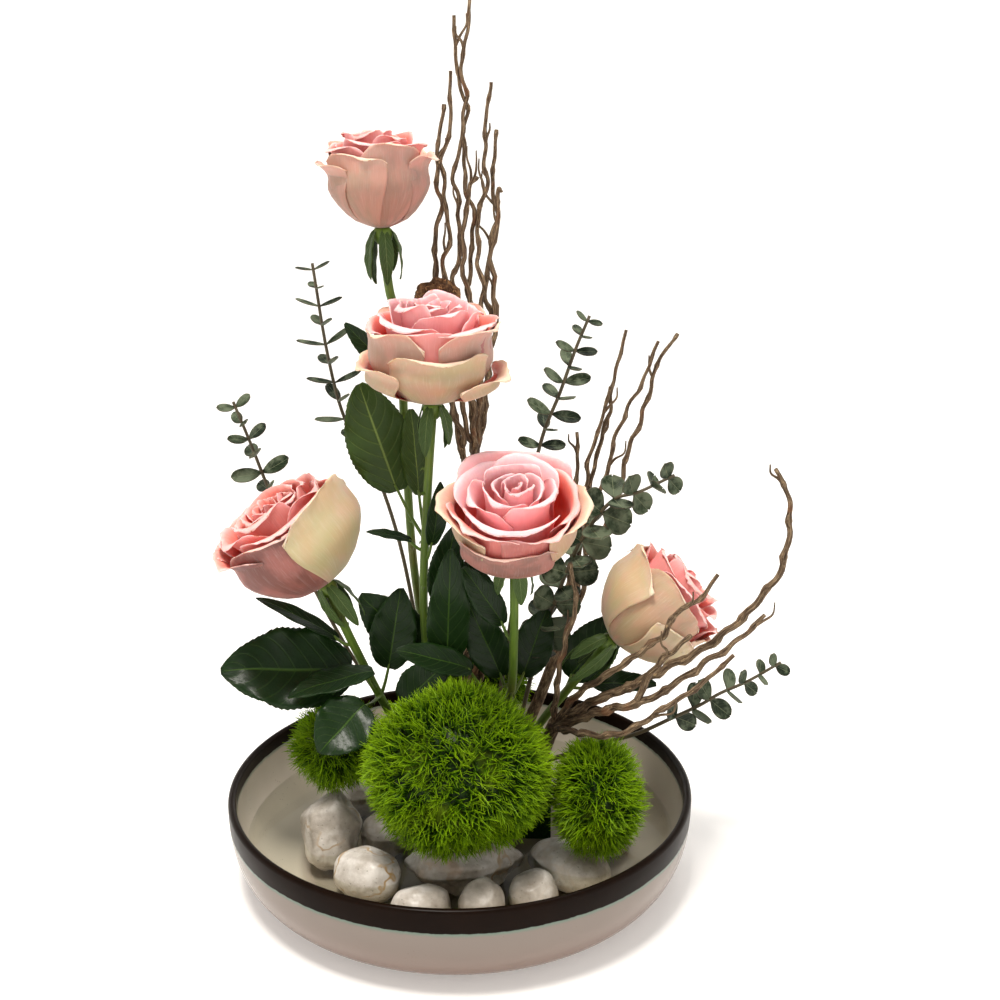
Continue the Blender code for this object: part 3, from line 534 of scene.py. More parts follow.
water = Finish("clear_water", {"Roughness": 0.02, "IOR": 1.33, "Base Color": tint(225, 232, 226)})
clear = water.node("ShaderNodeBsdfTransparent", {}, {"Color": tint(248, 250, 247)})
ripple = water.node("ShaderNodeBump", {}, {"Height": water.cloud(water.here(), 18.0, 2.0),
                                           "Distance": 0.0004, "Strength": 0.25})
mirror = water.node("ShaderNodeBsdfGlossy", {}, {"Roughness": 0.02, "Normal": ripple})
_x, _y, z = water.axes(water.here())
surface = water.between(z, WATER_LEVEL - 2 * MIRROR_DEPTH, WATER_LEVEL - MIRROR_DEPTH)
grazing = water.node("ShaderNodeFresnel", {}, {"IOR": 1.33}) * surface
film = water.node("ShaderNodeMixShader", {}, {0: grazing, 1: clear, 2: mirror})
water.tree.links.new(film.socket, water.output.inputs["Surface"])
show_piece(water_bm, "still_water", [water], ["water"], 40)

# %% [markdown]
# ## The floral foam
# The block of foam under the plants is a plain cut block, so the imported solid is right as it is. It only
# needs its colour and its open pores.

# %% Wet green foam
foam = Finish("wet_foam", {"Roughness": 0.9, "Specular IOR Level": 0.05})
pores = foam.cells(foam.here(), 900.0)
foam.wear("Base Color", foam.ramp(pores, (0.0, 20, 42, 16), (0.6, 34, 66, 28)))
foam.raise_by(pores, 0.0003, 0.2)
foam_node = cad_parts["floral_foam"]
foam_node.data.materials.clear()
foam_node.data.materials.append(foam.material)
print("foam finished")

# %% [markdown]
# ## The stones
# River quartz is white and cloudy, rounded by water, and some pieces are still rough where
# they broke. Each starts as a round ball of small triangles that is stretched to its size, dented by noise,
# and chipped flat by a few planes. Where it lies on the bowl it is flat.

# %% Shape the stones
STONE_SINK = 0.96
STONE_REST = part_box("pebble_veined")[0].z
STONES = {
    "rough_left": dict(centre=(-79, -15), half=(19, 23, 24), turn=10, rough=0.10, seed=21, chips=9),
    "round_left": dict(centre=(-46, -5), half=(16, 14, 16), turn=35, rough=0.04, seed=22, chips=5),
    "veined": dict(centre=(-53, -52), half=(21, 16, 16), turn=-20, rough=0.05, seed=23, chips=3),
    "front_left": dict(centre=(-20, -83), half=(18, 14, 14), turn=5, rough=0.05, seed=24, chips=2),
    "rough_centre": dict(centre=(3, -40), half=(33, 21, 17), turn=5, rough=0.11, seed=25, chips=10),
    "small_front": dict(centre=(14, -83), half=(13, 13, 16), turn=30, rough=0.05, seed=26, chips=2),
    "front_right": dict(centre=(43, -70), half=(15, 14, 15), turn=60, rough=0.04, seed=27, chips=3),
    "large_oval": dict(centre=(65, -38), half=(27, 18, 13.5), turn=-38, rough=0.02, seed=28, chips=0),
    "right": dict(centre=(92, -2), half=(14, 13, 11), turn=20, rough=0.05, seed=29, chips=2),
    "back_left": dict(centre=(-70, 46), half=(18, 15, 14), turn=-30, rough=0.06, seed=30, chips=4),
    "back": dict(centre=(-26, 86), half=(17, 11, 12), turn=10, rough=0.06, seed=31, chips=3),
    "back_right": dict(centre=(79, 44), half=(15, 14, 12), turn=40, rough=0.06, seed=32, chips=2),
}
CHIP_DEPTH = (0.80, 0.93)
CHIP_FLATNESS = 0.9
GRIT_SHARE = 0.22


def even_draw(draw, low, high):
    """A vector whose three parts are each drawn evenly between two numbers."""
    return Vector([draw.uniform(low, high) for _axis in range(3)])


def bell_draw(draw, lift=0.0):
    """A vector whose three parts are drawn from a bell curve, the last one moved by a lift."""
    return Vector((draw.gauss(0, 1), draw.gauss(0, 1), draw.gauss(lift, 1)))


def stone_bmesh(stone):
    """One stone, shaped in its own frame and then laid on the floor of the bowl."""
    draw = random.Random(stone["seed"])
    shift = even_draw(draw, 0, 50)
    chips = [(bell_draw(draw, 0.3).normalized(), draw.uniform(*CHIP_DEPTH))
             for _chip in range(stone["chips"])]
    bm = bmesh.new()
    bmesh.ops.create_icosphere(bm, subdivisions=5, radius=1.0)
    turn = Matrix.Rotation(math.radians(stone["turn"]), 3, "Z")
    half = Vector(stone["half"])
    centre = Vector((*stone["centre"], half.z * STONE_SINK)) * MM
    for vertex in bm.verts:
        way = vertex.co.normalized()
        bump = 1 + stone["rough"] * noise.noise(way * 1.6 + shift) * 2
        for normal, depth in chips:
            over = way.dot(normal) * bump
            if over > depth:
                bump *= 1 - (1 - depth / over) * CHIP_FLATNESS
        bump += stone["rough"] * GRIT_SHARE * noise.fractal(way * 5 + shift, 0.8, 2.0, 4)
        spot = turn @ (way * half * MM * bump) + centre
        spot.z = max(spot.z + STONE_REST, STONE_REST)
        vertex.co = spot
    return bm


# %% [markdown]
# Quartz is cloudy: patches of white and of clear grey run into each other. Iron leaves yellow and orange
# stains in its cracks, and each stone here has its own amount. A thin wet film makes it shine.


# %% Cloudy quartz
def quartz(name, seed, rough, stain, rusty):
    """The finish of one stone: its cloudiness, its grit, its stained cracks and its wet film."""
    finish = Finish("quartz_" + name,
                    {"Coat Weight": 0.12, "Coat Roughness": 0.16, "Specular IOR Level": 0.4})
    place = finish.node("ShaderNodeMapping", {}, {0: finish.here(), 1: (seed * 0.37, seed * 0.11, 0.0)})
    mist = finish.cloud(place, 55.0, 5.0, 0.6)
    colour = finish.ramp(mist, (0.28, 150, 139, 126), (0.46, 188, 179, 167), (0.64, 230, 224, 216))
    crack = abs(finish.cloud(place, 32.0, 3.0, 0.55) - 0.5)
    crack = (1 - finish.between(crack, 0.004, 0.022)) * finish.between(mist, 0.40, 0.62)
    colour = finish.blend(crack * stain, colour, tint(176, 134, 62))
    rust = finish.between(finish.cloud(place, 46.0, 2.0), 0.60, 0.72)
    colour = finish.blend(rust * rusty, colour, tint(212, 134, 48))
    pits = 1 - finish.between(finish.cells(place, 260.0), 0.08, 0.16)
    colour = finish.blend(pits * 0.35, colour, tint(120, 110, 96))
    finish.wear("Base Color", colour)
    finish.wear("Roughness", finish.cloud(place, 120.0, 3.0) * 0.30 + 0.22)
    grit = finish.cloud(place, 300.0, 7.0, 0.65) * (rough * 8) + finish.cloud(place, 110.0, 5.0) * 0.6
    finish.raise_by(grit - pits * 0.4, 0.0014, 0.55)
    return finish


STAINS = {"rough_left": (0.6, 0.9), "veined": (0.9, 0.0), "rough_centre": (0.6, 0.15)}
for stone_name, stone in STONES.items():
    stain, rusty = STAINS.get(stone_name, (0.15, 0.0))
    finish = quartz(stone_name, stone["seed"], stone["rough"], stain, rusty)
    show_piece(stone_bmesh(stone), "stone_" + stone_name, [finish], ["pebble_" + stone_name], 50)

# %% [markdown]
# ## The roses
# A garden rose is a spiral of petals round a closed heart. Each new petal stands about 137.5 degrees on
# from the last and a little further in, so no two stand in line. The inner ones are made by that rule.
# The guard petals outside are what tells one rose from another, so they are placed one by one.
# In the flower's own frame its axis is Z, and all sizes are shares of the flower's radius and height. How
# torn the rims are is given for each flower, because the two that face sideways have opened the furthest.
# So is the tone at the heart: 0.8 is coral, and 1 is the pale pink of the flower in front.

# %% Where the roses are
ROSES = {
    "top": dict(base=(-43, 37, 385), axis=(-0.03, -0.02, 1.0), radius=28.5, height=50, seed=11,
                petals=16, crests=(0.88, 1.00, 0.97), lean=0.14, ragged=0.9, heart=0.86),
    "upper": dict(base=(-14, 1, 291), axis=(0.0, -0.10, 1.0), radius=35.5, height=54, seed=22,
                  petals=17, crests=(0.82, 1.02, 1.00), lean=0.20, ragged=1.1, heart=0.96),
    "left": dict(base=(-78, -9, 187), axis=(-0.52, -0.10, 0.85), radius=39, height=58, seed=33,
                 petals=21, crests=(0.84, 0.97, 0.97), lean=0.18, ragged=1.7, heart=0.82),
    "front": dict(base=(32, -30, 209), axis=(0.0, -0.40, 0.92), radius=34, height=52, seed=44,
                  petals=14, crests=(0.82, 0.97, 1.00), lean=0.28, ragged=0.5, heart=1.0),
    "right": dict(base=(90, -14, 154), axis=(0.78, 0.02, 0.63), radius=32.5, height=58, seed=55,
                  petals=20, crests=(0.84, 0.98, 0.97), lean=0.16, ragged=1.6, heart=0.86),
}
GOLDEN_ANGLE = math.radians(137.5)

# %% [markdown]
# A guard petal is given by the way it faces, its reach, its half width in degrees, the height of its lip,
# how far the lip leans out and rolls over, and its tone: 0 for cream and olive, 0.5 for beige, 1 for pink.
# Tones near 0.64 give a dark dusty rose, a painted shade for the guard petals that hang down.

# %% Guard petals, one by one
GUARDS = {
    "top": (
        ((-0.95, -0.25, 0), 1.00, 44, 0.72, 0.20, 0.05, 0.44),
        ((1.0, -0.10, 0), 0.99, 44, 0.76, 0.10, 0.08, 0.50),
        ((0.0, 1.0, 0), 1.00, 55, 0.84, 0.08, 0.06, 0.40),
        ((-0.45, -1.0, 0), 1.00, 38, 0.80, 0.04, 0.07, 0.42),
        ((0.40, -1.0, 0), 0.97, 40, 0.90, 0.02, 0.06, 0.48),
        ((-0.9, 0.7, 0), 0.96, 44, 0.92, 0.06, 0.06, 0.50),
    ),
    "upper": (
        ((1.0, -0.35, 0), 1.05, 46, 0.36, 0.14, 0.10, 0.15),
        ((-1.0, -0.30, 0), 1.04, 48, 0.46, 0.10, 0.10, 0.10),
        ((0.15, -1.0, 0), 1.00, 46, 0.62, 0.04, 0.07, 0.18),
        ((0.0, 1.0, 0), 0.98, 62, 0.86, 0.12, 0.06, 0.50),
        ((-0.75, -0.75, 0), 0.95, 42, 0.84, 0.08, 0.05, 0.42),
        ((0.80, -0.65, 0), 0.95, 42, 0.86, 0.14, 0.05, 0.45),
        ((-0.1, -1.0, 0), 0.90, 50, 0.86, 0.06, 0.04, 0.86),
        ((1.0, 0.10, 0), 0.93, 48, 0.86, 0.10, 0.05, 0.72),
    ),
    "left": (
        ((0.9, -0.55, 0.1), 1.03, 46, 0.90, 0.05, 0.03, 0.00),
        ((0.05, -1.0, -0.1), 0.99, 50, 0.82, 0.00, 0.05, 0.62),
        ((0.1, 1.0, 0.2), 0.98, 44, 0.86, 0.02, 0.06, 0.50),
        ((-0.9, -0.60, -0.5), 0.95, 46, 0.80, 0.14, 0.05, 0.65),
        ((-0.9, 0.5, -0.3), 0.95, 44, 0.84, 0.14, 0.06, 0.70),
    ),
    "front": (
        ((-0.15, -1.0, 0), 1.00, 48, 0.58, 0.02, 0.04, 0.58),
        ((-1.0, -0.25, 0), 0.98, 50, 0.82, 0.20, 0.10, 0.25),
        ((1.0, -0.20, 0), 0.98, 48, 0.82, 0.18, 0.10, 0.20),
        ((0.0, 1.0, 0), 0.97, 66, 0.88, 0.12, 0.07, 0.96),
        ((0.55, -0.85, 0), 0.94, 48, 0.80, 0.08, 0.06, 0.74),
        ((-0.65, -0.8, 0), 0.92, 50, 0.86, 0.16, 0.08, 0.80),
    ),
    "right": (
        ((-0.8, -0.35, 0.8), 1.03, 42, 0.80, 0.08, 0.10, 0.12),
        ((0.1, -1.0, -0.55), 1.01, 34, 0.60, 0.02, 0.05, 0.00),
        ((0.0, 1.0, 0.1), 1.00, 55, 0.84, 0.04, 0.06, 0.45),
        ((0.7, -0.30, -1.0), 0.97, 36, 0.74, 0.06, 0.07, 0.05),
        ((0.0, -1.0, 0.30), 0.96, 48, 0.84, 0.02, 0.04, 0.28),
        ((0.5, 0.6, -1.0), 0.95, 44, 0.84, 0.06, 0.06, 0.60),
    ),
}
INNER_REACH = 0.93
OUTERMOST_INNER = 0.89
LOOSE_FROM = 0.99
PETAL_THICKNESS = 0.00034
PETAL_ACROSS = 30
PETAL_ALONG = 16
PETAL_PROFILE = ((0.60, 0.11, 1.0), (1.0, 0.42, 0.55), (1.0, 0.70, 0.82))
PETAL_ROOT = (0.05, -0.0012)
PETAL_STEPS = 8
LIP_DROP = 0.4
ROOT_WIDTH = 0.60
OPEN_BY = 0.6
PETAL_SHOULDER = 0.30
PETAL_PEAKS = (0.0, 0.06, 0.10, -0.03)
PEAK_WIDTH = 0.16
TEAR_DEPTH = 0.024
NIB_DEPTH = 0.05
PETAL_PEEL = 0.10
TIGHT_PEEL = 0.2
PETAL_SWING = 0.03
PETAL_DIP = 0.05
LIP_WAVE = 0.05
SHARED_WAVE = 0.09
GUARD_CREASE = 0.058
INNER_CREASE = 0.034
CRUMPLE = 0.018


def mix(first, second, share):
    """A number between two others."""
    return first + (second - first) * share


def rose_frame(name):
    """The matrix that carries a flower from its own frame to its place."""
    rose = ROSES[name]
    turn = Vector(rose["axis"]).normalized().to_track_quat("Z", "Y")
    return Matrix.Translation(point(rose["base"])) @ turn.to_matrix().to_4x4()


def facing_angle(name, way):
    """The angle round a flower's axis of a way in the room."""
    local = rose_frame(name).to_3x3().inverted() @ Vector(way)
    return math.atan2(local.y, local.x)


# %% [markdown]
# The side view of a petal is a smooth line from its root, out over the belly of the flower, up to the lip
# and over it. Seen from above a petal is an arc whose two side edges peel away by different amounts. The
# rim has a point or a notch, scallops and small tears, and the sheet creases more the nearer it is to the
# rim. All of that is drawn at random from the flower's seed, so no two petals are alike.


# %% One petal
def petal_line(rose, share, crest, lean, roll):
    """The side view of a petal, from its root over the belly of the flower to its rolled lip."""
    radius = rose["radius"] * MM
    height = rose["height"] * MM
    stations = [Vector((PETAL_ROOT[0] * radius, 0, PETAL_ROOT[1]))]
    for out, rise, part in PETAL_PROFILE:
        stations.append(Vector((out * radius * share, 0, min(rise, crest * part) * height)))
    lip_out = radius * share * (1 + lean)
    stations.append(Vector((lip_out, 0, height * crest)))
    stations.append(Vector((lip_out + radius * roll, 0, height * crest - radius * roll * LIP_DROP)))
    return smooth_path(stations, PETAL_STEPS)


def petal_surface(rose, petal, draw):
    """The curved sheet of one petal: u across it, v from its root to its lip."""
    angle, share, half_width, crest, lean, roll, _tone = petal
    radius = rose["radius"] * MM
    line = petal_line(rose, share, crest, lean, roll)
    shift = even_draw(draw, 0, 90)
    half = math.radians(half_width)
    loose = 1.0 if share > LOOSE_FROM else TIGHT_PEEL
    crease = GUARD_CREASE if share > OUTERMOST_INNER else INNER_CREASE
    peel = {side: draw.uniform(0, PETAL_PEEL) * loose for side in (-1, 1)}
    swing = draw.uniform(-PETAL_SWING, PETAL_SWING)
    peak = draw.choice(PETAL_PEAKS)
    dip = draw.uniform(-PETAL_DIP, PETAL_DIP)

    def own_noise(x, y, z):
        """Noise that no other petal has."""
        return noise.noise(Vector((x, y, z)) + shift)

    def surface(u, v):
        """Place of a point."""
        eased = v ** 0.85
        tear = own_noise(u * 3.5, 0, 0) + 0.5 * own_noise(u * 10, 5, 0)
        nib = max(0.0, own_noise(u * 19, 9, 0) - 0.25)
        torn = rose["ragged"] * (TEAR_DEPTH * (tear + 0.5) + NIB_DEPTH * nib)
        edge = 1 - PETAL_SHOULDER * abs(u) ** 2.3 - torn
        edge += peak * math.exp(-(u / PEAK_WIDTH) ** 2) - max(0.0, peak)
        lip = eased ** 3
        reached = eased * mix(1.0, edge, lip)
        position = max(0.0, min(reached, 1.0)) * (len(line) - 1)
        lower = min(int(position), len(line) - 2)
        spot = line[lower].lerp(line[lower + 1], position - lower)
        opened = min(1.0, eased / OPEN_BY)
        opened = opened * opened * (3 - 2 * opened)
        turn = angle + u * half * mix(ROOT_WIDTH, 1.0, opened)
        shared = Vector((math.cos(turn) * 1.2, math.sin(turn) * 1.2, eased * 1.2 + rose["seed"]))
        wide = noise.noise(shared) * SHARED_WAVE * share
        fine = own_noise(u * 4.5, eased * 2.5, 3) * crease
        crumple = own_noise(u * 13, eased * 9, 6) * CRUMPLE * rose["ragged"]
        side = peel[1 if u > 0 else -1] * abs(u) ** 3 * eased ** 2
        out = spot.x + radius * (u * swing * opened + side + wide * eased + (fine + crumple) * lip)
        rise = spot.z + radius * (dip * lip * u + LIP_WAVE * lip * math.sin(u * 4 + shift.x))
        return Vector((out * math.cos(turn), out * math.sin(turn), rise))

    return surface


# %% All petals of a flower
def flower_petals(name, draw):
    """Every petal of a flower from the outside in: its guard petals and then the spiral."""
    rose = ROSES[name]
    for way, *shape in GUARDS[name]:
        yield (facing_angle(name, way), *shape)
    first, middle, last = rose["crests"]
    for index in range(rose["petals"]):
        order = index / (rose["petals"] - 1)
        angle = rose["seed"] + index * GOLDEN_ANGLE + draw.uniform(-0.25, 0.25)
        share = mix(0.88, 0.10, order ** 0.85) * draw.uniform(0.99, 1.01)
        half_width = mix(56, 108, order ** 1.6) * draw.uniform(0.9, 1.1)
        crest = mix(first, middle, order / 0.35) if order < 0.35 else mix(middle, last, (order - 0.35) / 0.65)
        lean = min(rose["lean"] * mix(1.0, -0.2, order) + draw.uniform(-0.03, 0.05), INNER_REACH / share - 1)
        tone = mix(0.78, rose["heart"], min(1.0, order * 12))
        yield (angle, share, half_width, crest * draw.uniform(0.97, 1.03), lean, mix(0.12, 0.04, order), tone)


# %% [markdown]
# Petals are coloured by their own map. The rim is the palest part, the root is yellow green on the guard
# petals, and inside the flower the faces deepen to coral. The guard petals are cream and beige with olive
# patches and brown nibs on their torn rims. Fine lines from root to rim give the silky look. On the outer
# faces the lower part darkens towards the root, partly the real dustier base and partly painted shade, and
# tones near 0.64 give a dark dusty rose that is painted shade on guard petals hanging down.


# %% Petal finishes
def petal_finish(name, inner):
    """The inner or the outer face of every petal."""
    finish = Finish(name, {"Roughness": 0.55, "Specular IOR Level": 0.35, "Sheen Weight": 0.12,
                           "Sheen Roughness": 0.4, "Subsurface Weight": 0.22, "Subsurface Scale": 0.003})
    u, v = finish.sheet("blade")
    tone, chance = finish.sheet("kind")
    lines = finish.cloud(finish.spot(u * 34.0, v * 3.0, chance * 40.0), 2.0, 4.0, 0.6)
    mist = finish.cloud(finish.spot(u * 2.4, v * 2.4, chance * 25.0), 1.6, 3.0)
    side = finish.between(abs(u - 0.5), 0.44, 0.50) * finish.between(v, 0.45, 0.9)
    rim = finish.between(v, 0.80, 1.0) * 0.42 + side * 0.16
    if inner:
        guard = finish.ramp(v, (0.40, 216, 128, 108), (0.90, 236, 206, 184))
        coral = finish.ramp(v, (0.48, 246, 82, 62), (0.74, 250, 136, 122), (0.94, 253, 190, 184))
        pink = finish.ramp(v, (0.28, 250, 112, 100), (0.46, 254, 180, 184), (0.80, 254, 200, 206))
        young = finish.blend(finish.between(tone, 0.84, 1.0), coral, pink)
        colour = finish.blend(finish.between(tone, 0.35, 0.80), guard, young)
    else:
        # Painted shade: the stop at 0.64 is a dark dusty rose for the guard petals that hang down into shade.
        side_colour = finish.ramp(tone, (0.0, 208, 184, 158), (0.25, 186, 158, 132), (0.45, 184, 146, 132),
                                  (0.64, 106, 64, 61), (0.82, 214, 128, 122), (1.0, 254, 186, 190))
        # The outer faces darken towards the root: partly their real dustier base, partly painted shade under
        # the flower. The 0.64 stop is darkest here too.
        deep = finish.ramp(tone, (0.0, 150, 136, 96), (0.64, 112, 56, 48), (0.80, 212, 96, 84),
                           (1.0, 250, 128, 120))
        colour = finish.blend((1 - finish.between(v, 0.20, 0.78)) * 0.62, side_colour, deep)
        colour = finish.blend(finish.between(v, 0.70, 0.95) * finish.between(tone, 0.6, 1.0) * 0.7, colour,
                              tint(253, 192, 194))
    blush = finish.between(mist, 0.40, 0.64) * 0.22
    colour = finish.blend(blush, colour, tint(222, 138, 128))
    moss = finish.cloud(finish.spot(u * 1.3, v * 1.8, chance * 35.0), 1.4, 2.0)
    olive = finish.between(moss, 0.44, 0.66) * (1 - finish.between(tone, 0.0, 0.55))
    colour = finish.blend(olive * 0.36, colour, tint(166, 160, 92))
    colour = finish.blend(finish.between(lines, 0.50, 0.75) * 0.08, colour, tint(255, 240, 232))
    colour = finish.blend(finish.between(1 - lines, 0.50, 0.80) * 0.08, colour, tint(176, 106, 84))
    pale = finish.blend(finish.between(tone, 0.3, 0.8), tint(226, 210, 178), tint(252, 212, 212))
    colour = finish.blend(rim, colour, pale)
    nibs = finish.cloud(finish.spot(u * 11.0, v * 9.0, chance * 60.0), 2.0, 3.0)
    outer_edge = finish.maths("MAXIMUM", finish.between(v, 0.93, 1.0), side * 0.7)
    worn = finish.between(nibs, 0.55, 0.64) * outer_edge
    colour = finish.blend(worn * 0.85, colour, tint(176, 98, 40))
    finish.wear("Base Color", colour)
    finish.raise_by(lines + finish.cloud(finish.here(), 420.0, 2.0) * 0.5, 0.0005, 0.28)
    return finish


petal_outside = petal_finish("petal_outside", False)
petal_inside = petal_finish("petal_inside", True)
print("petal finishes ready")


# %% Build every flower
def make_bloom(name):
    """One rose flower, petal by petal from the outside in."""
    rose = ROSES[name]
    draw = random.Random(rose["seed"])
    bm = new_sheets()
    petals = []
    for petal in flower_petals(name, draw):
        petals.append((petal_surface(rose, petal, draw), (petal[-1], draw.random())))
    lay_sheets(bm, PETAL_ACROSS, PETAL_ALONG, petals)
    bmesh.ops.transform(bm, matrix=rose_frame(name), verts=bm.verts)
    show_piece(bm, "bloom_" + name, [petal_outside, petal_inside], ["rose_bloom_" + name],
               wall=PETAL_THICKNESS)


for rose_name in ROSES:
    make_bloom(rose_name)

# %% [markdown]
# ## Rose stems
# Under each flower sit the rounded hip and five sepals, and the stem runs from there down into the foam.
# The stem is a tube rolled round its path. A few hooked prickles point down it. Leaf stalks leave it where
# the leaves do.

# %% Routes of the stems
GAP = 0.0003
HIP_PROFILE = ((0, -0.0105), (0.0030, -0.0098), (0.0050, -0.0076), (0.0059, -0.0046), (0.0053, -0.0018),
               (0.0040, -GAP), (0, -GAP))
STEM_RADIUS = 0.0026
STALK_RADIUS = 0.0010
PRICKLES = 7
PRICKLE_LENGTH = 0.0045
ROSE_STEMS = {
    "top": ((-40, 39, 349), (-35, 42, 325), (-33, 46, 252), (-30, 50, 180), (-22, 52, 110), (-16, 52, 54),
            (-14, 52, 24)),
    "upper": ((-18, 8, 236), (-22, 18, 167), (-20, 30, 100), (-16, 34, 54), (-15, 34, 24)),
    "left": ((-67, -3, 156), (-52, 14, 110), (-40, 28, 76), (-34, 34, 54), (-30, 36, 24)),
    "front": ((32, -16, 153), (30, 2, 110), (19, 18, 75), (12, 24, 54), (9, 27, 24)),
    "right": ((69, 2, 120), (53, 15, 92), (41, 24, 68), (36, 28, 54), (33, 30, 24)),
}
STEM_STEPS = 8
STEM_SIDES = 12

# %% [markdown]
# Each leaf is given by five things: where its stalk leaves the stem, where the blade begins, where it ends,
# how wide it is and which way it faces. The last word says whether its edge is toothed.

# %% Places of the leaves
ROSE_LEAVES = {
    "top": (
        ((-34, 44, 290), (-40, 40, 302), (-65, 30, 330), 13, (-0.3, -0.9, 0.4), True),
    ),
    "upper": (
        ((-20, 13, 205), (-37, 25, 232), (-58, 22, 298), 38, (-0.15, 1.0, -0.2), True),
        ((-20, 13, 205), (-24, 24, 230), (-27, 23, 283), 19, (0.2, 1.0, 0.0), True),
        ((-20, 14, 198), (-28, 11, 206), (-54, 10, 213), 8, (0.0, -0.4, 1.0), False),
        ((-20, 14, 192), (-16, 6, 204), (-9, 0, 243), 13, (0.5, -1.0, 0.0), False),
        ((-21, 20, 152), (-13, 12, 166), (-2, 6, 215), 20, (0.1, -1.0, 0.2), True),
        ((-20, 27, 112), (-8, 0, 128), (-4, -14, 205), 25, (0.1, -1.0, -0.1), True),
        ((-20, 27, 116), (-24, 30, 128), (-60, 22, 166), 31, (0.0, -1.0, 0.35), True),
    ),
    "left": (
        ((-57, 8, 124), (-64, -3, 129), (-137, -22, 139), 50, (-0.05, -0.75, 0.66), True),
        ((-52, 14, 110), (-50, -14, 134), (-97, -36, 130), 20, (0.1, -0.3, 1.0), True),
        ((-49, 17, 104), (-54, -30, 120), (-78, -52, 101), 34, (-0.1, -0.85, 0.5), True),
        ((-49, 17, 104), (-44, 16, 122), (-36, 18, 172), 28, (0.0, -1.0, 0.2), True),
        ((-46, 20, 96), (-36, 4, 104), (-8, -4, 134), 26, (0.0, -0.8, 0.6), True),
        ((-64, 0, 144), (-72, 6, 146), (-119, 6, 174), 11, (0.0, -0.5, 1.0), False),
    ),
    "front": (
        ((32, -14, 150), (26, -12, 162), (4, -18, 198), 17, (0.2, -1.0, 0.3), True),
        ((30, 2, 110), (25, 4, 122), (6, 2, 168), 24, (0.1, -1.0, 0.2), True),
        ((31, 4, 120), (20, 12, 150), (4, 12, 192), 24, (-0.1, -1.0, 0.1), True),
        ((30, 2, 108), (38, 14, 118), (52, 22, 158), 24, (-0.2, -1.0, 0.2), True),
        ((26, 8, 96), (8, -8, 132), (-34, -24, 152), 18, (0.1, -0.7, 0.7), True),
    ),
    "right": (
        ((60, 9, 104), (66, 16, 116), (96, 20, 154), 30, (-0.2, -1.0, 0.2), True),
        ((66, 4, 115), (80, 2, 118), (116, -8, 124), 16, (0.2, -0.6, 0.9), True),
    ),
}
LEAF_THICKNESS = 0.0005
LEAF_SAG = 0.10
LEAF_FOLD = 0.16
LEAF_BLUNTNESS = 0.66
LEAF_RIPPLE = 0.03
EDGE_WAVE = 0.035
LEAF_VEINS = 8
VEIN_SLANT = 1.2
VEIN_CURVE = 1.1
VEIN_PUFF = 0.014
TOOTH_LENGTH = 0.0035
TOOTH_DEPTH = 0.05
TOOTH_INSET = 0.02


# %% One leaf
def leaf_surface(base, tip, width, facing, teeth=0, sag=LEAF_SAG, phase=0.0):
    """The sheet of one leaf: folded at its rib, puffed between its veins, and toothed if teeth are given."""
    along = tip - base
    length = along.length
    along.normalize()
    across = along.cross(Vector(facing)).normalized()
    up = across.cross(along).normalized()

    def surface(u, v):
        """Place of a point: u across the leaf, v from base to tip."""
        swell = math.sin(math.pi * min(1.0, 0.04 + 0.95 * v ** 0.85)) ** LEAF_BLUNTNESS
        half = width / 2 * max(0.02, swell)
        edge = abs(u) ** 6
        if teeth:
            half *= 1 + edge * (TOOTH_DEPTH * (1 - (v * teeth) % 1.0) - TOOTH_INSET)
        droop = -2 * sag * length * (v - 0.35) ** 2
        veins = v * LEAF_VEINS - abs(u) * VEIN_SLANT - u * u * VEIN_CURVE
        puff = -VEIN_PUFF * width * math.cos(math.tau * veins) * (1 - edge) * abs(u)
        lift = LEAF_FOLD * half * abs(u) + LEAF_RIPPLE * width * math.sin(v * 9 + u + phase) + puff
        wave = EDGE_WAVE * width * edge * math.sin(v * 21 + phase + u)
        return base + along * v * length + across * u * half + up * (droop + lift + wave)

    return surface


# %% [markdown]
# ## Green finishes
# A rose leaf is dark and waxy above and paler below. The rib and the side veins are drawn from the leaf's
# own map: the side veins are slanted lines that repeat along the rib. The blade swells between them, so the
# same pattern is used for the bump. Stems are lighter and streaked, and redder where the sun reached them.


# %% Leaf, sepal and stem finishes
def vein_pattern(finish, u, v, count):
    """The rib and the slanted side veins of a leaf, each from 0 to 1, and how far out from the rib."""
    out = abs(u - 0.5) * 2.0
    rib = 1 - finish.between(out, 0.010, 0.055)
    slant = (v * count - out * VEIN_SLANT - out * out * VEIN_CURVE) % 1.0
    side = 1 - finish.between(abs(slant - 0.5), 0.0, 0.10)
    return rib, side * (1 - finish.between(out, 0.72, 0.98)), out


def leaf_finish(name, dark, light, rib_colour, gloss):
    """One face of a leaf."""
    finish = Finish(name, {"Coat Weight": gloss, "Coat Roughness": 0.24, "Specular IOR Level": 0.15})
    u, v = finish.sheet("blade")
    _kind, chance = finish.sheet("kind")
    rib, side, out = vein_pattern(finish, u, v, LEAF_VEINS)
    mottle = finish.cloud(finish.here(), 90.0, 4.0, 0.6)
    colour = finish.blend(mottle * 0.7 + chance * 0.3, dark, light)
    colour = finish.blend(finish.between(out, 0.75, 1.0) * 0.55, colour, light)
    net = finish.cells(finish.spot(u * 20.0, v * 34.0, chance * 9.0), 1.4)
    colour = finish.blend(net * 0.18, colour, light)
    colour = finish.blend(side * 0.22, colour, rib_colour)
    colour = finish.blend(rib * 0.80, colour, rib_colour)
    finish.wear("Base Color", colour)
    finish.wear("Roughness", mottle * 0.22 + 0.34)
    finish.raise_by(0.5 - side * 0.5 - rib * 0.6 + net * 0.20 + mottle * 0.2, 0.0007, 0.7)
    return finish


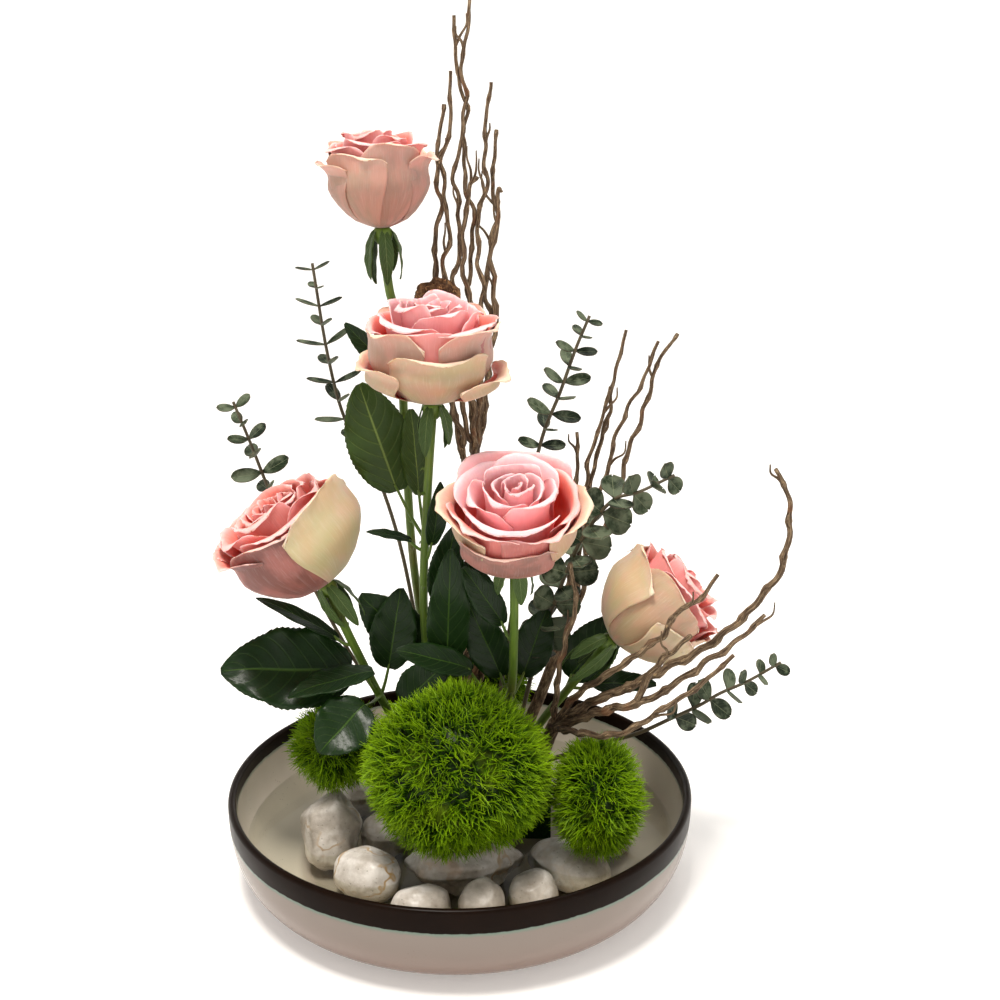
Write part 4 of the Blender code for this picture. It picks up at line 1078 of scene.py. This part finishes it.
leaf_above = leaf_finish("leaf_above", tint(3, 20, 0), tint(20, 46, 8), tint(58, 86, 26), 0.16)
leaf_below = leaf_finish("leaf_below", tint(30, 48, 14), tint(54, 74, 26), tint(112, 130, 62), 0.10)
sepal_green = leaf_finish("sepal_green", tint(34, 54, 24), tint(82, 104, 54), tint(128, 146, 90), 0.05)

stem_green = Finish("stem_green", {"Specular IOR Level": 0.4})
u, v = stem_green.sheet("blade")
chance, length = stem_green.sheet("kind")
streaks = stem_green.cloud(stem_green.spot(u * 14.0, v * length * 60.0, chance * 30.0), 1.5, 4.0)
blush = stem_green.between(stem_green.cloud(stem_green.here(), 22.0, 2.0), 0.55, 0.75)
green = stem_green.blend(streaks, tint(46, 74, 16), tint(112, 138, 48))
stem_green.wear("Base Color", stem_green.blend(blush * 0.35, green, tint(110, 70, 40)))
stem_green.wear("Roughness", streaks * 0.2 + 0.38)
stem_green.raise_by(streaks, 0.0004, 0.6)
print("green finishes ready")


# %% Build stems, prickles and stalks
def lay_prickles(bm, path, draw):
    """Hooked prickles that point down the stem."""
    rings = frames_along(path)
    for _prickle in range(PRICKLES):
        place, side, up = rings[draw.randint(len(path) // 6, len(path) * 2 // 3)]
        angle = draw.uniform(0, math.tau)
        out = side * math.cos(angle) + up * math.sin(angle)
        root = place + out * STEM_RADIUS * 0.7
        hook = [root, root + out * PRICKLE_LENGTH * 0.6,
                root + out * PRICKLE_LENGTH - Vector((0, 0, PRICKLE_LENGTH * 0.5))]
        lay_tube(bm, hook, (0.0014, 0.0007, 0.0001), 6, 0.9)


def make_rose_stem(name):
    """The stem with its hip, prickles and leaf stalks, each a closed body in one piece."""
    draw = random.Random(ROSES[name]["seed"] + 1)
    inside_hip = rose_frame(name) @ Vector((0, 0, HIP_PROFILE[3][1]))
    path = smooth_path([inside_hip] + in_metres(ROSE_STEMS[name]), STEM_STEPS)
    bm = new_sheets()
    turn_profile(bm, HIP_PROFILE, 24)
    bmesh.ops.transform(bm, matrix=rose_frame(name), verts=bm.verts)
    lay_tube(bm, path, [STEM_RADIUS] * len(path), STEM_SIDES, 0.3)
    lay_prickles(bm, path, draw)
    for start, base, tip, width, facing, _toothed in ROSE_LEAVES[name]:
        surface = leaf_surface(point(base), point(tip), width * MM, facing)
        middle = point(start).lerp(surface(0, 0.06), 0.5) + Vector((0, 0, -0.0015))
        stalk = smooth_path([point(start), middle, surface(0, 0.06)], 4)
        lay_tube(bm, stalk, taper(len(stalk), STALK_RADIUS * 1.2, STALK_RADIUS * 0.8), 8, 0.6)
    close_seams(bm)
    show_piece(bm, "stem_" + name, [stem_green], ["rose_stem_" + name], 50)


for rose_name in ROSES:
    make_rose_stem(rose_name)

# %% [markdown]
# Leaves and sepals are open sheets that get their thickness from a modifier, which also gives the lower
# face its own paler finish. Sepals are made as narrow leaves that hang from the hip and end in a point.

# %% Build leaves and sepals
SEPALS = 5
SEPAL_LENGTH = 0.031
SEPAL_WIDTH = 0.0085
SEPAL_ROOT = (0.0058, -0.0012)
SEPAL_SPREAD = 0.004
LEAF_ACROSS = 14


def make_leaves(name):
    """All the leaves on one rose stem."""
    draw = random.Random(ROSES[name]["seed"] + 2)
    bm = new_sheets()
    for _start, base, tip, width, facing, toothed in ROSE_LEAVES[name]:
        length = (point(tip) - point(base)).length
        teeth = round(length / TOOTH_LENGTH) if toothed else 0
        phase = draw.uniform(0, math.tau)
        surface = leaf_surface(point(base), point(tip), width * MM, facing, teeth, phase=phase * 0.2)
        lay_sheets(bm, LEAF_ACROSS, max(24, teeth * 3), [(surface, (0.0, draw.random()))])
    show_piece(bm, "leaves_" + name, [leaf_above, leaf_below], ["rose_stem_" + name],
               wall=LEAF_THICKNESS)


def make_sepals(name):
    """The five sepals that hang round the hip of one flower."""
    rose = ROSES[name]
    carry = rose_frame(name)
    draw = random.Random(rose["seed"])
    bm = new_sheets()
    for index in range(SEPALS):
        angle = math.tau * index / SEPALS + rose["seed"]
        out = Vector((math.cos(angle), math.sin(angle), 0))
        root = out * SEPAL_ROOT[0] + Vector((0, 0, SEPAL_ROOT[1]))
        hang = draw.uniform(0.75, 1.1)
        length = SEPAL_LENGTH * draw.uniform(0.87, 1.2)
        tip = root + out * (SEPAL_SPREAD + length * (1.1 - hang) * 0.6) - Vector((0, 0, length * hang * 0.9))
        surface = leaf_surface(carry @ root, carry @ tip, SEPAL_WIDTH, carry.to_3x3() @ out, sag=LEAF_SAG * 2)
        lay_sheets(bm, 8, 18, [(surface, (0.0, 0.2 * index))])
    show_piece(bm, "sepals_" + name, [sepal_green, leaf_below], ["rose_stem_" + name],
               wall=LEAF_THICKNESS)


for rose_name in ROSES:
    make_leaves(rose_name)
    make_sepals(rose_name)

# %% [markdown]
# ## The eucalyptus
# A eucalyptus shoot carries its leaves in pairs, and each pair is turned a quarter against the last. The
# leaves are spoon-shaped, thick and a little cupped, dark green under a pale wax that rubs off in patches.

# %% Routes of the sprays
EUCALYPTUS = {
    "back_left": dict(path=((-87, 60, 362), (-80, 62, 306), (-71, 66, 265), (-54, 70, 232), (-40, 72, 184),
                            (-30, 71, 126), (-26, 68, 80), (-24, 65, 54), (-23, 63, 26)),
                      pairs=10, spacing=12, length=17, width=6.5, turned=0.2, seed=3),
    "far_left": dict(path=((-136, 48, 281), (-127, 50, 254), (-118, 51, 226), (-101, 53, 179), (-76, 57, 122),
                           (-50, 58, 76), (-38, 57, 55), (-32, 56, 28)),
                     pairs=6, spacing=11.5, length=17, width=9.5, turned=0.5, seed=5),
    "centre": dict(path=((77, 52, 332), (69, 52, 312), (60, 54, 285), (50, 56, 258), (42, 58, 220),
                         (34, 56, 160), (24, 50, 90), (20, 47, 54), (19, 46, 26)),
                   pairs=9, spacing=10.5, length=17, width=8.5, turned=0.45, seed=7),
    "round": dict(path=((124, 2, 248), (104, 2, 238), (90, 4, 233), (79, 10, 218), (70, 16, 200),
                        (60, 24, 170), (48, 33, 128), (38, 41, 80), (33, 45, 54), (32, 46, 26)),
                  pairs=14, spacing=12.0, length=17, width=17.0, turned=0.65, seed=9),
    "low_right": dict(path=((195, 16, 126), (177, 22, 111), (161, 26, 101), (149, 28, 92), (131, 31, 81),
                            (110, 36, 68), (84, 43, 57), (64, 47, 47), (46, 49, 40)),
                      pairs=7, spacing=12.5, length=16, width=11.0, turned=0.6, seed=13),
}
SPRIG_RADII = (0.0009, 0.0016)
SPOON_WIDEST = 0.58
SPOON_END = 1.001
SPOON_ROUNDNESS = 2.2
SPOON_NECK = 0.05
SPOON_CUP = 0.10
FORWARD = Vector((0, -1, 0))


# %% One spoon-shaped leaf and its place
def spoon_surface(base, way, facing, length, width):
    """The sheet of one eucalyptus leaf."""
    across = way.cross(facing).normalized()

    def surface(u, v):
        """Place of a point: u across the leaf, v from its neck to its tip."""
        if v > SPOON_WIDEST:
            past = (v - SPOON_WIDEST) / (SPOON_END - SPOON_WIDEST)
            half = width / 2 * math.sqrt(1 - past ** SPOON_ROUNDNESS)
        else:
            half = width / 2 * max(SPOON_NECK, 1 - abs(v / SPOON_WIDEST - 1) ** SPOON_ROUNDNESS)
        cup = SPOON_CUP * length * v * v + SPOON_CUP * width * u * u
        return base + way * v * length + across * u * half + facing * cup

    return surface


def leaf_spots(path, spray):
    """Where each pair of leaves grows on a path, the way to the tip there, and how full-grown the pair is."""
    travelled = 0.0
    wanted = spray["spacing"] * MM / 3
    found = []
    for start, end in zip(path, path[1:]):
        stretch = (end - start).length
        while len(found) < spray["pairs"] and wanted <= travelled + stretch:
            growth = min(1.0, 0.6 + 0.12 * len(found))
            spot = start.lerp(end, (wanted - travelled) / stretch)
            found.append((spot, (start - end).normalized(), growth))
            wanted += spray["spacing"] * MM * (0.75 + 0.25 * growth)
        travelled += stretch
    return found


# %% Waxy eucalyptus finishes
def wax_finish(name, dark, light, wax):
    """One face of a eucalyptus leaf, with its rubbed wax."""
    finish = Finish(name, {"Specular IOR Level": 0.15})
    u, v = finish.sheet("blade")
    _kind, chance = finish.sheet("kind")
    rib, side, out = vein_pattern(finish, u, v, 6)
    rubbed = finish.cloud(finish.here(), 130.0, 4.0, 0.6)
    colour = finish.blend(chance, dark, light)
    bloom = finish.between(rubbed + chance * 0.16, 0.46, 0.70)
    colour = finish.blend(bloom * 0.75, colour, wax)
    colour = finish.blend(side * 0.15 + rib * 0.55, colour, tint(128, 136, 104))
    colour = finish.blend(finish.between(out, 0.90, 1.0) * 0.4, colour, tint(88, 70, 58))
    finish.wear("Base Color", colour)
    finish.wear("Roughness", bloom * 0.25 + 0.42)
    finish.raise_by(rubbed * 0.4 - rib * 0.8 - side * 0.2, 0.0005, 0.6)
    return finish


wax_above = wax_finish("eucalyptus_above", tint(18, 30, 18), tint(46, 58, 38), tint(104, 114, 92))
wax_below = wax_finish("eucalyptus_below", tint(40, 54, 38), tint(72, 84, 62), tint(126, 136, 112))
sprig_bark = Finish("sprig_bark", {"Roughness": 0.6})
sprig_bark.wear("Base Color", sprig_bark.blend(sprig_bark.cloud(sprig_bark.here(), 150.0), tint(58, 44, 30),
                                               tint(92, 84, 58)))
sprig_bark.raise_by(sprig_bark.cloud(sprig_bark.here(), 600.0), 0.0003, 0.6)


# %% Build the sprays
def make_eucalyptus(name):
    """A spray: its thin stem, and its leaves as one piece of thick sheets."""
    spray = EUCALYPTUS[name]
    draw = random.Random(spray["seed"])
    shades = random.Random(spray["seed"] + 1)
    path = in_metres(spray["path"])
    fine = smooth_path(path, 6)
    stem_bm = new_sheets()
    lay_tube(stem_bm, fine, taper(len(fine), *SPRIG_RADII), 8)
    leaf_bm = new_sheets()
    leaves = []
    for index, (spot, along, growth) in enumerate(leaf_spots(path, spray)):
        side = along.cross(FORWARD).normalized()
        turn = Matrix.Rotation(math.radians(20 + 90 * (index % 2) + draw.uniform(-12, 12)), 3, along)
        out = turn @ side
        facing = along.lerp(FORWARD, spray["turned"])
        facing = (facing - out * facing.dot(out)).normalized()
        ways = [(out * sign + along * draw.uniform(0.05, 0.40)).normalized() for sign in (1, -1)]
        size = growth * draw.uniform(0.9, 1.1) * MM
        for order, way in enumerate(ways):
            surface = spoon_surface(spot, way, facing, spray["length"] * size, spray["width"] * size)
            leaves.append((surface, (order, shades.random())))
    lay_sheets(leaf_bm, 8, 12, leaves)
    close_seams(stem_bm)
    show_piece(stem_bm, "sprig_" + name, [sprig_bark], ["eucalyptus_" + name])
    show_piece(leaf_bm, "spray_" + name, [wax_above, wax_below], ["eucalyptus_" + name],
               wall=LEAF_THICKNESS)


for spray_name in EUCALYPTUS:
    make_eucalyptus(spray_name)

# %% [markdown]
# ## The curly willow
# Curly willow never grows straight: a strand swings from side to side, and each bud leaves a swollen node.
# Every strand is a tube whose path is bent by a few waves of different lengths, and whose radius swells at
# the nodes. Short twigs leave the upper half of the strands and end in a point.

# %% Routes of the willow
TALL_ROOT = ((7, 60, 84), (6, 61, 68), (6, 61, 54), (6, 61, 26))
TALL_FOOT_RADIUS = 0.0058
TALL_STRANDS = (
    (7, 508, -1, 1, 60, None),
    (-2, 500, 6, 7, 64, None),
    (-4, 470, -8, -5, 57, None),
    (19, 464, 13, 11, 60, None),
    (22, 438, 20, 14, 65, None),
    (-8, 452, -13, -10, 60, 2),
    (25, 404, 22, 18, 61, 3),
    (11, 412, 4, 5, 56, 0),
)
TALL_WAVE = 0.0019
TALL_BASE = 62
TALL_WAIST = 170
TALL_FORK = 245
TALL_NECK = 300
TALL_BULGE = 395
TALL_SPREAD = 3.4
TALL_TURN = 2.4
STRAND_RADII = (0.0010, 0.0020)
BURL = (-13, 55, 342)
BURL_SIZE = (13, 8, 11)
BURL_SKEW = Matrix.Rotation(math.radians(40), 3, (0.5, 1.0, 0.3))
BURL_SHIFT = Vector((4, 9, 2))
BURL_DENT = 0.26
BURL_RIDGE = 0.09
UPRIGHT_ROOT = ((63, 60, 122), (51, 60, 86), (39, 60, 54), (36, 60, 26))
UPRIGHT_RADII = (0.0034, 0.0042)
UPRIGHT_WAVE = 0.0011
UPRIGHT_TIPS = (
    ((71, 58, 260), (72, 58, 222), (68, 59, 165)),
    ((91, 60, 288), (78, 60, 232), (70, 60, 168)),
    ((100, 63, 322), (84, 62, 242), (72, 61, 170)),
    ((119, 58, 316), (91, 59, 242), (74, 60, 166)),
    ((131, 62, 320), (117, 62, 294), (101, 63, 234), (78, 61, 162)),
)
SWEEP_ROOT = ((57, -2, 94), (53, 10, 76), (49, 21, 54), (48, 24, 26))
SWEEP_ROOT_RADII = (0.0042, 0.0046)
SWEEP_WAVE = 0.0009
SWEEP_RADII = (0.0028, 0.0028, 0.0021, 0.0021, 0.0021, 0.0021)
SWEEP_TIP_RADIUS = 0.0011
SWEEP_BRANCHES = (
    ((168, -60, 268), (176, -60, 254), (177, -60, 240), (173, -60, 212), (160, -58, 188), (131, -52, 161),
     (103, -38, 137), (80, -20, 118), (57, -2, 93)),
    ((167, -61, 187), (152, -63, 173), (129, -60, 152), (104, -49, 131), (82, -32, 116), (57, -3, 92)),
    ((140, -64, 211), (131, -64, 197), (120, -63, 190), (112, -62, 176), (95, -48, 154), (72, -20, 124),
     (57, -2, 94)),
    ((149, -72, 168), (133, -69, 150), (113, -63, 132), (88, -54, 112), (66, -26, 101), (57, -2, 91)),
    ((127, -66, 177), (118, -64, 168), (110, -55, 155), (101, -48, 131)),
    ((63, -31, 206), (66, -26, 178), (57, -12, 124), (57, -2, 93)),
)
ROW_SPACING = 0.0028
NODE_SPACING = 0.021
NODE_SWELL = 0.42
NODE_WIDTH = 0.09
BARK_ROUGHNESS = 0.10
SWING_WAVES = (95, 210, 80)
KINK_WAVES = (330, 290, 370)
KINK = 0.00066
CALM_END = 0.03
STRAND_SIDES = 10
FOOT_SIDES = 14
TWIG_SIDES = 6
TWIG_RADII = (0.0010, 0.0004)
TWIG_LENGTH = (0.010, 0.022)
TWIG_BEND = 0.45


# %% Bend and thicken a strand
def travel(path):
    """Every place on a path, with the distance travelled to it."""
    travelled = 0.0
    for index, place in enumerate(path):
        if index:
            travelled += (place - path[index - 1]).length
        yield place, travelled


def wavy(path, size, seed):
    """Bend a path from side to side as curly willow grows; its two ends stay where they are."""
    draw = random.Random(seed)
    first = draw.uniform(0, math.tau)
    second = draw.uniform(0, math.tau)
    whole = path_length(path)
    slow, quick, deep = SWING_WAVES
    kink_x, kink_y, kink_z = KINK_WAVES
    bent = []
    for place, travelled in travel(path):
        calm = min(1.0, travelled / CALM_END, (whole - travelled) / CALM_END)
        swing = Vector((math.sin(travelled * slow + first) + 0.5 * math.sin(travelled * quick + second),
                        math.sin(travelled * deep + second), 0))
        kink = Vector((math.sin(travelled * kink_x + second), math.cos(travelled * kink_y + first),
                       math.sin(travelled * kink_z)))
        bent.append(place + (swing * size + kink * KINK) * calm)
    return bent


def even_rows(points):
    """A smooth path through points with rows about as far apart as asked."""
    steps = max(2, round(path_length(points) / (len(points) - 1) / ROW_SPACING))
    return smooth_path(points, steps)


def node_radii(path, thin, thick, draw):
    """Radii from the thin tip to the thick foot, swollen at every node."""
    first = draw.uniform(0, NODE_SPACING)
    found = []
    for index, (place, travelled) in enumerate(travel(path)):
        off = ((travelled + first) / NODE_SPACING) % 1.0 - 0.5
        swell = 1 + NODE_SWELL * math.exp(-(off / NODE_WIDTH) ** 2)
        swell += BARK_ROUGHNESS * noise.noise(place * 260)
        found.append((thin + (thick - thin) * index / (len(path) - 1)) * swell)
    return found


def lay_twig(bm, place, way, length, draw):
    """A short curled twig that leaves a strand and ends in a point."""
    bend = Vector((draw.uniform(-1, 1), draw.uniform(-1, 1), draw.uniform(0, 1))) * TWIG_BEND
    knees = [place, place + way * length * 0.35, place + (way + bend * 0.5).normalized() * length * 0.7,
             place + (way + bend * 0.5 + Vector((0, 0, 0.5))).normalized() * length]
    path = smooth_path(knees, 4)
    lay_tube(bm, path, taper(len(path), *TWIG_RADII), TWIG_SIDES, draw.random())


# %% [markdown]
# Willow bark is grey brown with a grain that runs along the strand. It is redder at the nodes and pale
# where it has flaked, so three patterns are stretched along the length of each strand and laid together.
# The knot is no tube and has no map of its own, so its ridges are read from its place on the object.

# %% Bark with red nodes
bark = Finish("willow_bark", {"Specular IOR Level": 0.15})
u, v = bark.sheet("blade")
chance, length = bark.sheet("kind")
run_along = v * length
grain = bark.cloud(bark.spot(u * 5.0, run_along * 60.0, chance * 50.0), 2.5, 5.0, 0.65)
flakes = bark.cloud(bark.spot(u * 4.0, run_along * 130.0, chance * 20.0), 2.0, 4.0, 0.6)
rings = bark.cloud(bark.spot(u * 0.8, run_along * 62.0, chance * 80.0), 1.2, 2.0)
colour = bark.ramp(grain, (0.32, 40, 28, 20), (0.50, 98, 80, 62), (0.68, 156, 134, 106))
colour = bark.blend(bark.between(rings, 0.60, 0.70) * 0.30, colour, tint(140, 88, 58))
colour = bark.blend(bark.between(flakes, 0.60, 0.72) * 0.6, colour, tint(208, 176, 132))
colour = bark.blend(bark.between(1 - flakes, 0.62, 0.74) * 0.7, colour, tint(34, 20, 14))
bark.wear("Base Color", colour)
bark.wear("Roughness", grain * 0.3 + 0.5)
bark.raise_by(grain + flakes * 0.6, 0.0009, 0.9)

knot = Finish("willow_knot", {"Specular IOR Level": 0.15, "Roughness": 0.8})
stretched = knot.node("ShaderNodeMapping", {}, {0: knot.here(), 3: (1.0, 1.0, 0.35)})
ridges = knot.cloud(stretched, 260.0, 6.0, 0.65)
crumbs = knot.cloud(knot.here(), 420.0, 4.0, 0.6)
colour = knot.ramp(ridges, (0.34, 30, 18, 12), (0.50, 92, 66, 46), (0.66, 150, 112, 76))
colour = knot.blend(knot.between(crumbs, 0.58, 0.68) * 0.7, colour, tint(206, 150, 100))
knot.wear("Base Color", colour)
knot.raise_by(ridges + crumbs * 0.5, 0.0016, 1.0)
print("bark ready")


# %% Build the three bundles
def lay_strand(bm, path, radii, seed):
    """One strand with its nodes. Its random draw comes back, for its twigs."""
    draw = random.Random(seed)
    lay_tube(bm, path, node_radii(path, *radii, draw), STRAND_SIDES, draw.random())
    return draw


def tall_strands():
    """The path of every strand of the tall bundle, from its tip to the foot or to where it forks off."""
    x, y, _height = TALL_ROOT[1]
    paths = []
    for index, (tip_x, tip_z, bulge_x, neck_x, depth, parent) in enumerate(TALL_STRANDS):
        side = TALL_SPREAD * math.cos(index * TALL_TURN)
        back = TALL_SPREAD * math.sin(index * TALL_TURN)
        upper = in_metres(((tip_x, depth, tip_z), (bulge_x, depth, TALL_BULGE), (neck_x, depth, TALL_NECK)))
        if parent is None:
            waist = (x + 1 + side * 1.3, y - 1 + back, TALL_WAIST)
            lower = in_metres((waist, (x + side, y + back, TALL_BASE)))
        else:
            lower = [min(paths[parent], key=lambda place: abs(place.z - TALL_FORK * MM))]
        paths.append(wavy(even_rows(upper + lower), TALL_WAVE, index + 60))
    return paths


def lay_burl(bm):
    """The rough knot of bark on the tall bundle: a ball of small faces pushed about by noise."""
    made = bmesh.ops.create_icosphere(bm, subdivisions=5, radius=1.0)["verts"]
    half = Vector(BURL_SIZE) * MM
    for vertex in made:
        way = vertex.co.normalized()
        skew = BURL_SKEW @ way
        ridges = noise.fractal(Vector((skew.x * 5, skew.y * 5, skew.z * 2.4)), 0.9, 2.1, 5)
        bump = 1 + BURL_DENT * noise.noise(skew * 2.1 + BURL_SHIFT) + BURL_RIDGE * ridges
        vertex.co = way * half * bump + point(BURL)
    for face in {face for vertex in made for face in vertex.link_faces}:
        face.material_index = 1


def make_willow(name, foot, foot_radii, strands, burl=False):
    """One bundle: its foot in the foam, and its strands with the twigs that grow from their upper half."""
    bm = new_sheets()
    path = even_rows(in_metres(foot))
    lay_tube(bm, path, taper(len(path), *foot_radii), FOOT_SIDES, 0.4)
    for index, (strand, radii, twigs) in enumerate(strands):
        draw = lay_strand(bm, strand, radii, index + 200)
        for _twig in range(twigs):
            spot = draw.randint(6, len(strand) // 2)
            way = (strand[spot - 1] - strand[spot + 1]).normalized()
            out = Vector((draw.uniform(-1, 1), draw.uniform(-1, 1), 0.2)).normalized()
            lay_twig(bm, strand[spot], (way + out * 0.8).normalized(), draw.uniform(*TWIG_LENGTH), draw)
    close_seams(bm)
    if burl:
        lay_burl(bm)
    show_piece(bm, "willow_branches_" + name, [bark, knot], ["willow_" + name], 60)


tall = [(path, STRAND_RADII, 2) for path in tall_strands()]
make_willow("tall", TALL_ROOT, (TALL_SPREAD * MM, TALL_FOOT_RADIUS), tall, burl=True)
upright = []
for index, tips in enumerate(UPRIGHT_TIPS):
    route = in_metres((*tips, UPRIGHT_ROOT[0]))
    upright.append((wavy(even_rows(route), UPRIGHT_WAVE, index + 90), STRAND_RADII, 1))
make_willow("upright", UPRIGHT_ROOT, UPRIGHT_RADII, upright)
sweeping = []
for index, (branch, thick) in enumerate(zip(SWEEP_BRANCHES, SWEEP_RADII)):
    path = wavy(even_rows(in_metres(branch)), SWEEP_WAVE, index + 120)
    sweeping.append((path, (SWEEP_TIP_RADIUS, thick), 1))
make_willow("sweeping", SWEEP_ROOT, SWEEP_ROOT_RADII, sweeping)

# %% [markdown]
# ## The green dianthus
# This dianthus has no petals. Its round head is a cushion of thousands of thin green bracts, which grow in
# small tufts and fork outwards. The tufts are spread evenly over an egg shape by the same golden angle that
# the roses use. Each bract is a flat tube of a few faces, bright yellow green at the tip. Its darkening
# towards the root is painted shade of the deep gaps between the bracts, and the dark core under them is
# painted shade too.

# %% Where the heads are
HEADS = {
    "front": dict(centre=(0, -52, 90), size=(55, 50, 51), tufts=900, seed=1,
                  stem=((0, -30, 72), (2, -8, 56), (4, 12, 43), (5, 30, 38))),
    "right": dict(centre=(80, -44, 68), size=(29, 33, 37), tufts=380, seed=2,
                  stem=((74, -26, 62), (56, -6, 51), (42, 12, 43), (39, 24, 38))),
    "left": dict(centre=(-76, 3, 78), size=(30, 29, 29), tufts=300, seed=3,
                 stem=((-64, 14, 66), (-54, 20, 50), (-43, 24, 43), (-28, 28, 38))),
    "back": dict(centre=(12, 100, 82), size=(36, 31, 34), tufts=300, seed=4,
                 stem=((14, 92, 62), (18, 82, 49), (21, 71, 42), (22, 58, 38))),
}
FORKS = 5
BRACT_LENGTH = (0.0105, 0.0150)
BRACT_RADIUS = 0.00044
BRACT_FLAT = 0.60
TUFT_LEAN = 0.34
TUFT_SPREAD = 0.46
FORK_SPREAD = 0.20
BRACT_BEND = 0.55
ROOT_DEPTH = 0.0110
CORE_DEPTH = 0.0100
CORE_SHARE = 0.97
HEAD_UNEVENNESS = 0.009
STEM_CLEARING = 0.90
HEAD_STEM_RADIUS = 0.0022


# %% Bright bracts
bracts = Finish("dianthus_green", {"Specular IOR Level": 0.12})
_u, v = bracts.sheet("blade")
chance, _length = bracts.sheet("kind")
# Painted shade: the bracts darken to near black towards their roots and the core, for the deep gaps in the
# head. The yellow green tips are their own colour.
colour = bracts.ramp(v, (0.15, 12, 30, 0), (0.45, 46, 82, 2), (0.74, 134, 172, 10), (1.0, 204, 224, 66))
# Mottled green patches lighten that painted shade at the roots and on the core.
depths = bracts.between(bracts.cloud(bracts.here(), 700.0, 4.0, 0.6), 0.44, 0.62)
colour = bracts.blend((1 - bracts.between(v, 0.0, 0.06)) * depths * 0.8, colour, tint(44, 76, 4))
colour = bracts.blend(bracts.between(chance, 0.45, 1.0) * 0.45, colour, tint(26, 58, 0))
colour = bracts.blend(bracts.between(bracts.cloud(bracts.here(), 45.0), 0.52, 0.70) * 0.30, colour,
                      tint(160, 190, 30))
bracts.wear("Base Color", colour)
bracts.wear("Roughness", chance * 0.2 + 0.4)
print("bracts ready")


# %% Build the heads
def bract(root, way, length, draw):
    """One thin bract that leaves its root and bends as it grows, with its kind numbers."""
    bend = even_draw(draw, -1, 1) * BRACT_BEND
    knees = [root, root + (way + bend * 0.1).normalized() * length * 0.5,
             root + (way + bend * 0.6).normalized() * length]
    radii = (BRACT_RADIUS * 0.8, BRACT_RADIUS, BRACT_RADIUS * 0.2)
    return tube_surface(knees, radii, BRACT_FLAT), (draw.random(), length)


def make_head(name):
    """A head: a core painted dark as shade, tufts of forked bracts all over it, and its stem into the foam.
    """
    head = HEADS[name]
    draw = random.Random(head["seed"])
    half = Vector(head["size"]) * MM
    centre = point(head["centre"])
    stem = in_metres(head["stem"])
    inward = (stem[0] - centre).normalized()
    bm = new_sheets()
    # The core has no map of its own and takes the darkest root colour: a dark body that paints the shade deep
    # in the head.
    inner = half - Vector((CORE_DEPTH, CORE_DEPTH, CORE_DEPTH))
    for vertex in bmesh.ops.create_icosphere(bm, subdivisions=3, radius=1.0)["verts"]:
        vertex.co = centre + vertex.co.normalized() * inner * CORE_SHARE
    made = []
    for index in range(head["tufts"]):
        height = 1 - 2 * (index + 0.5) / head["tufts"]
        ring = math.sqrt(1 - height * height)
        turn = index * GOLDEN_ANGLE
        way = Vector((ring * math.cos(turn), ring * math.sin(turn), height))
        if way.dot(inward) > STEM_CLEARING:
            continue
        out = Vector((way.x / half.x, way.y / half.y, way.z / half.z)).normalized()
        uneven = HEAD_UNEVENNESS * min(0.0, noise.noise(way * 2.0 + Vector((head["seed"], 0, 0))))
        root = centre + way * half + out * (uneven - ROOT_DEPTH)
        tuft_lean = bell_draw(draw, -0.3) * TUFT_LEAN
        for _fork in range(FORKS):
            stray = tuft_lean + bell_draw(draw) * TUFT_SPREAD
            lead = (out + stray - out * min(0.0, stray.dot(out))).normalized()
            for _prong in range(2):
                split = bell_draw(draw) * FORK_SPREAD
                made.append(bract(root, (lead + split).normalized(), draw.uniform(*BRACT_LENGTH), draw))
    lay_sheets(bm, 3, 4, made)
    path = smooth_path([centre.lerp(stem[0], 0.4)] + stem, 4)
    lay_tube(bm, path, [HEAD_STEM_RADIUS] * len(path), 10, 0.1)
    close_seams(bm)
    show_piece(bm, "bracts_" + name, [bracts], ["dianthus_" + name], 80)


for head_name in HEADS:
    make_head(head_name)
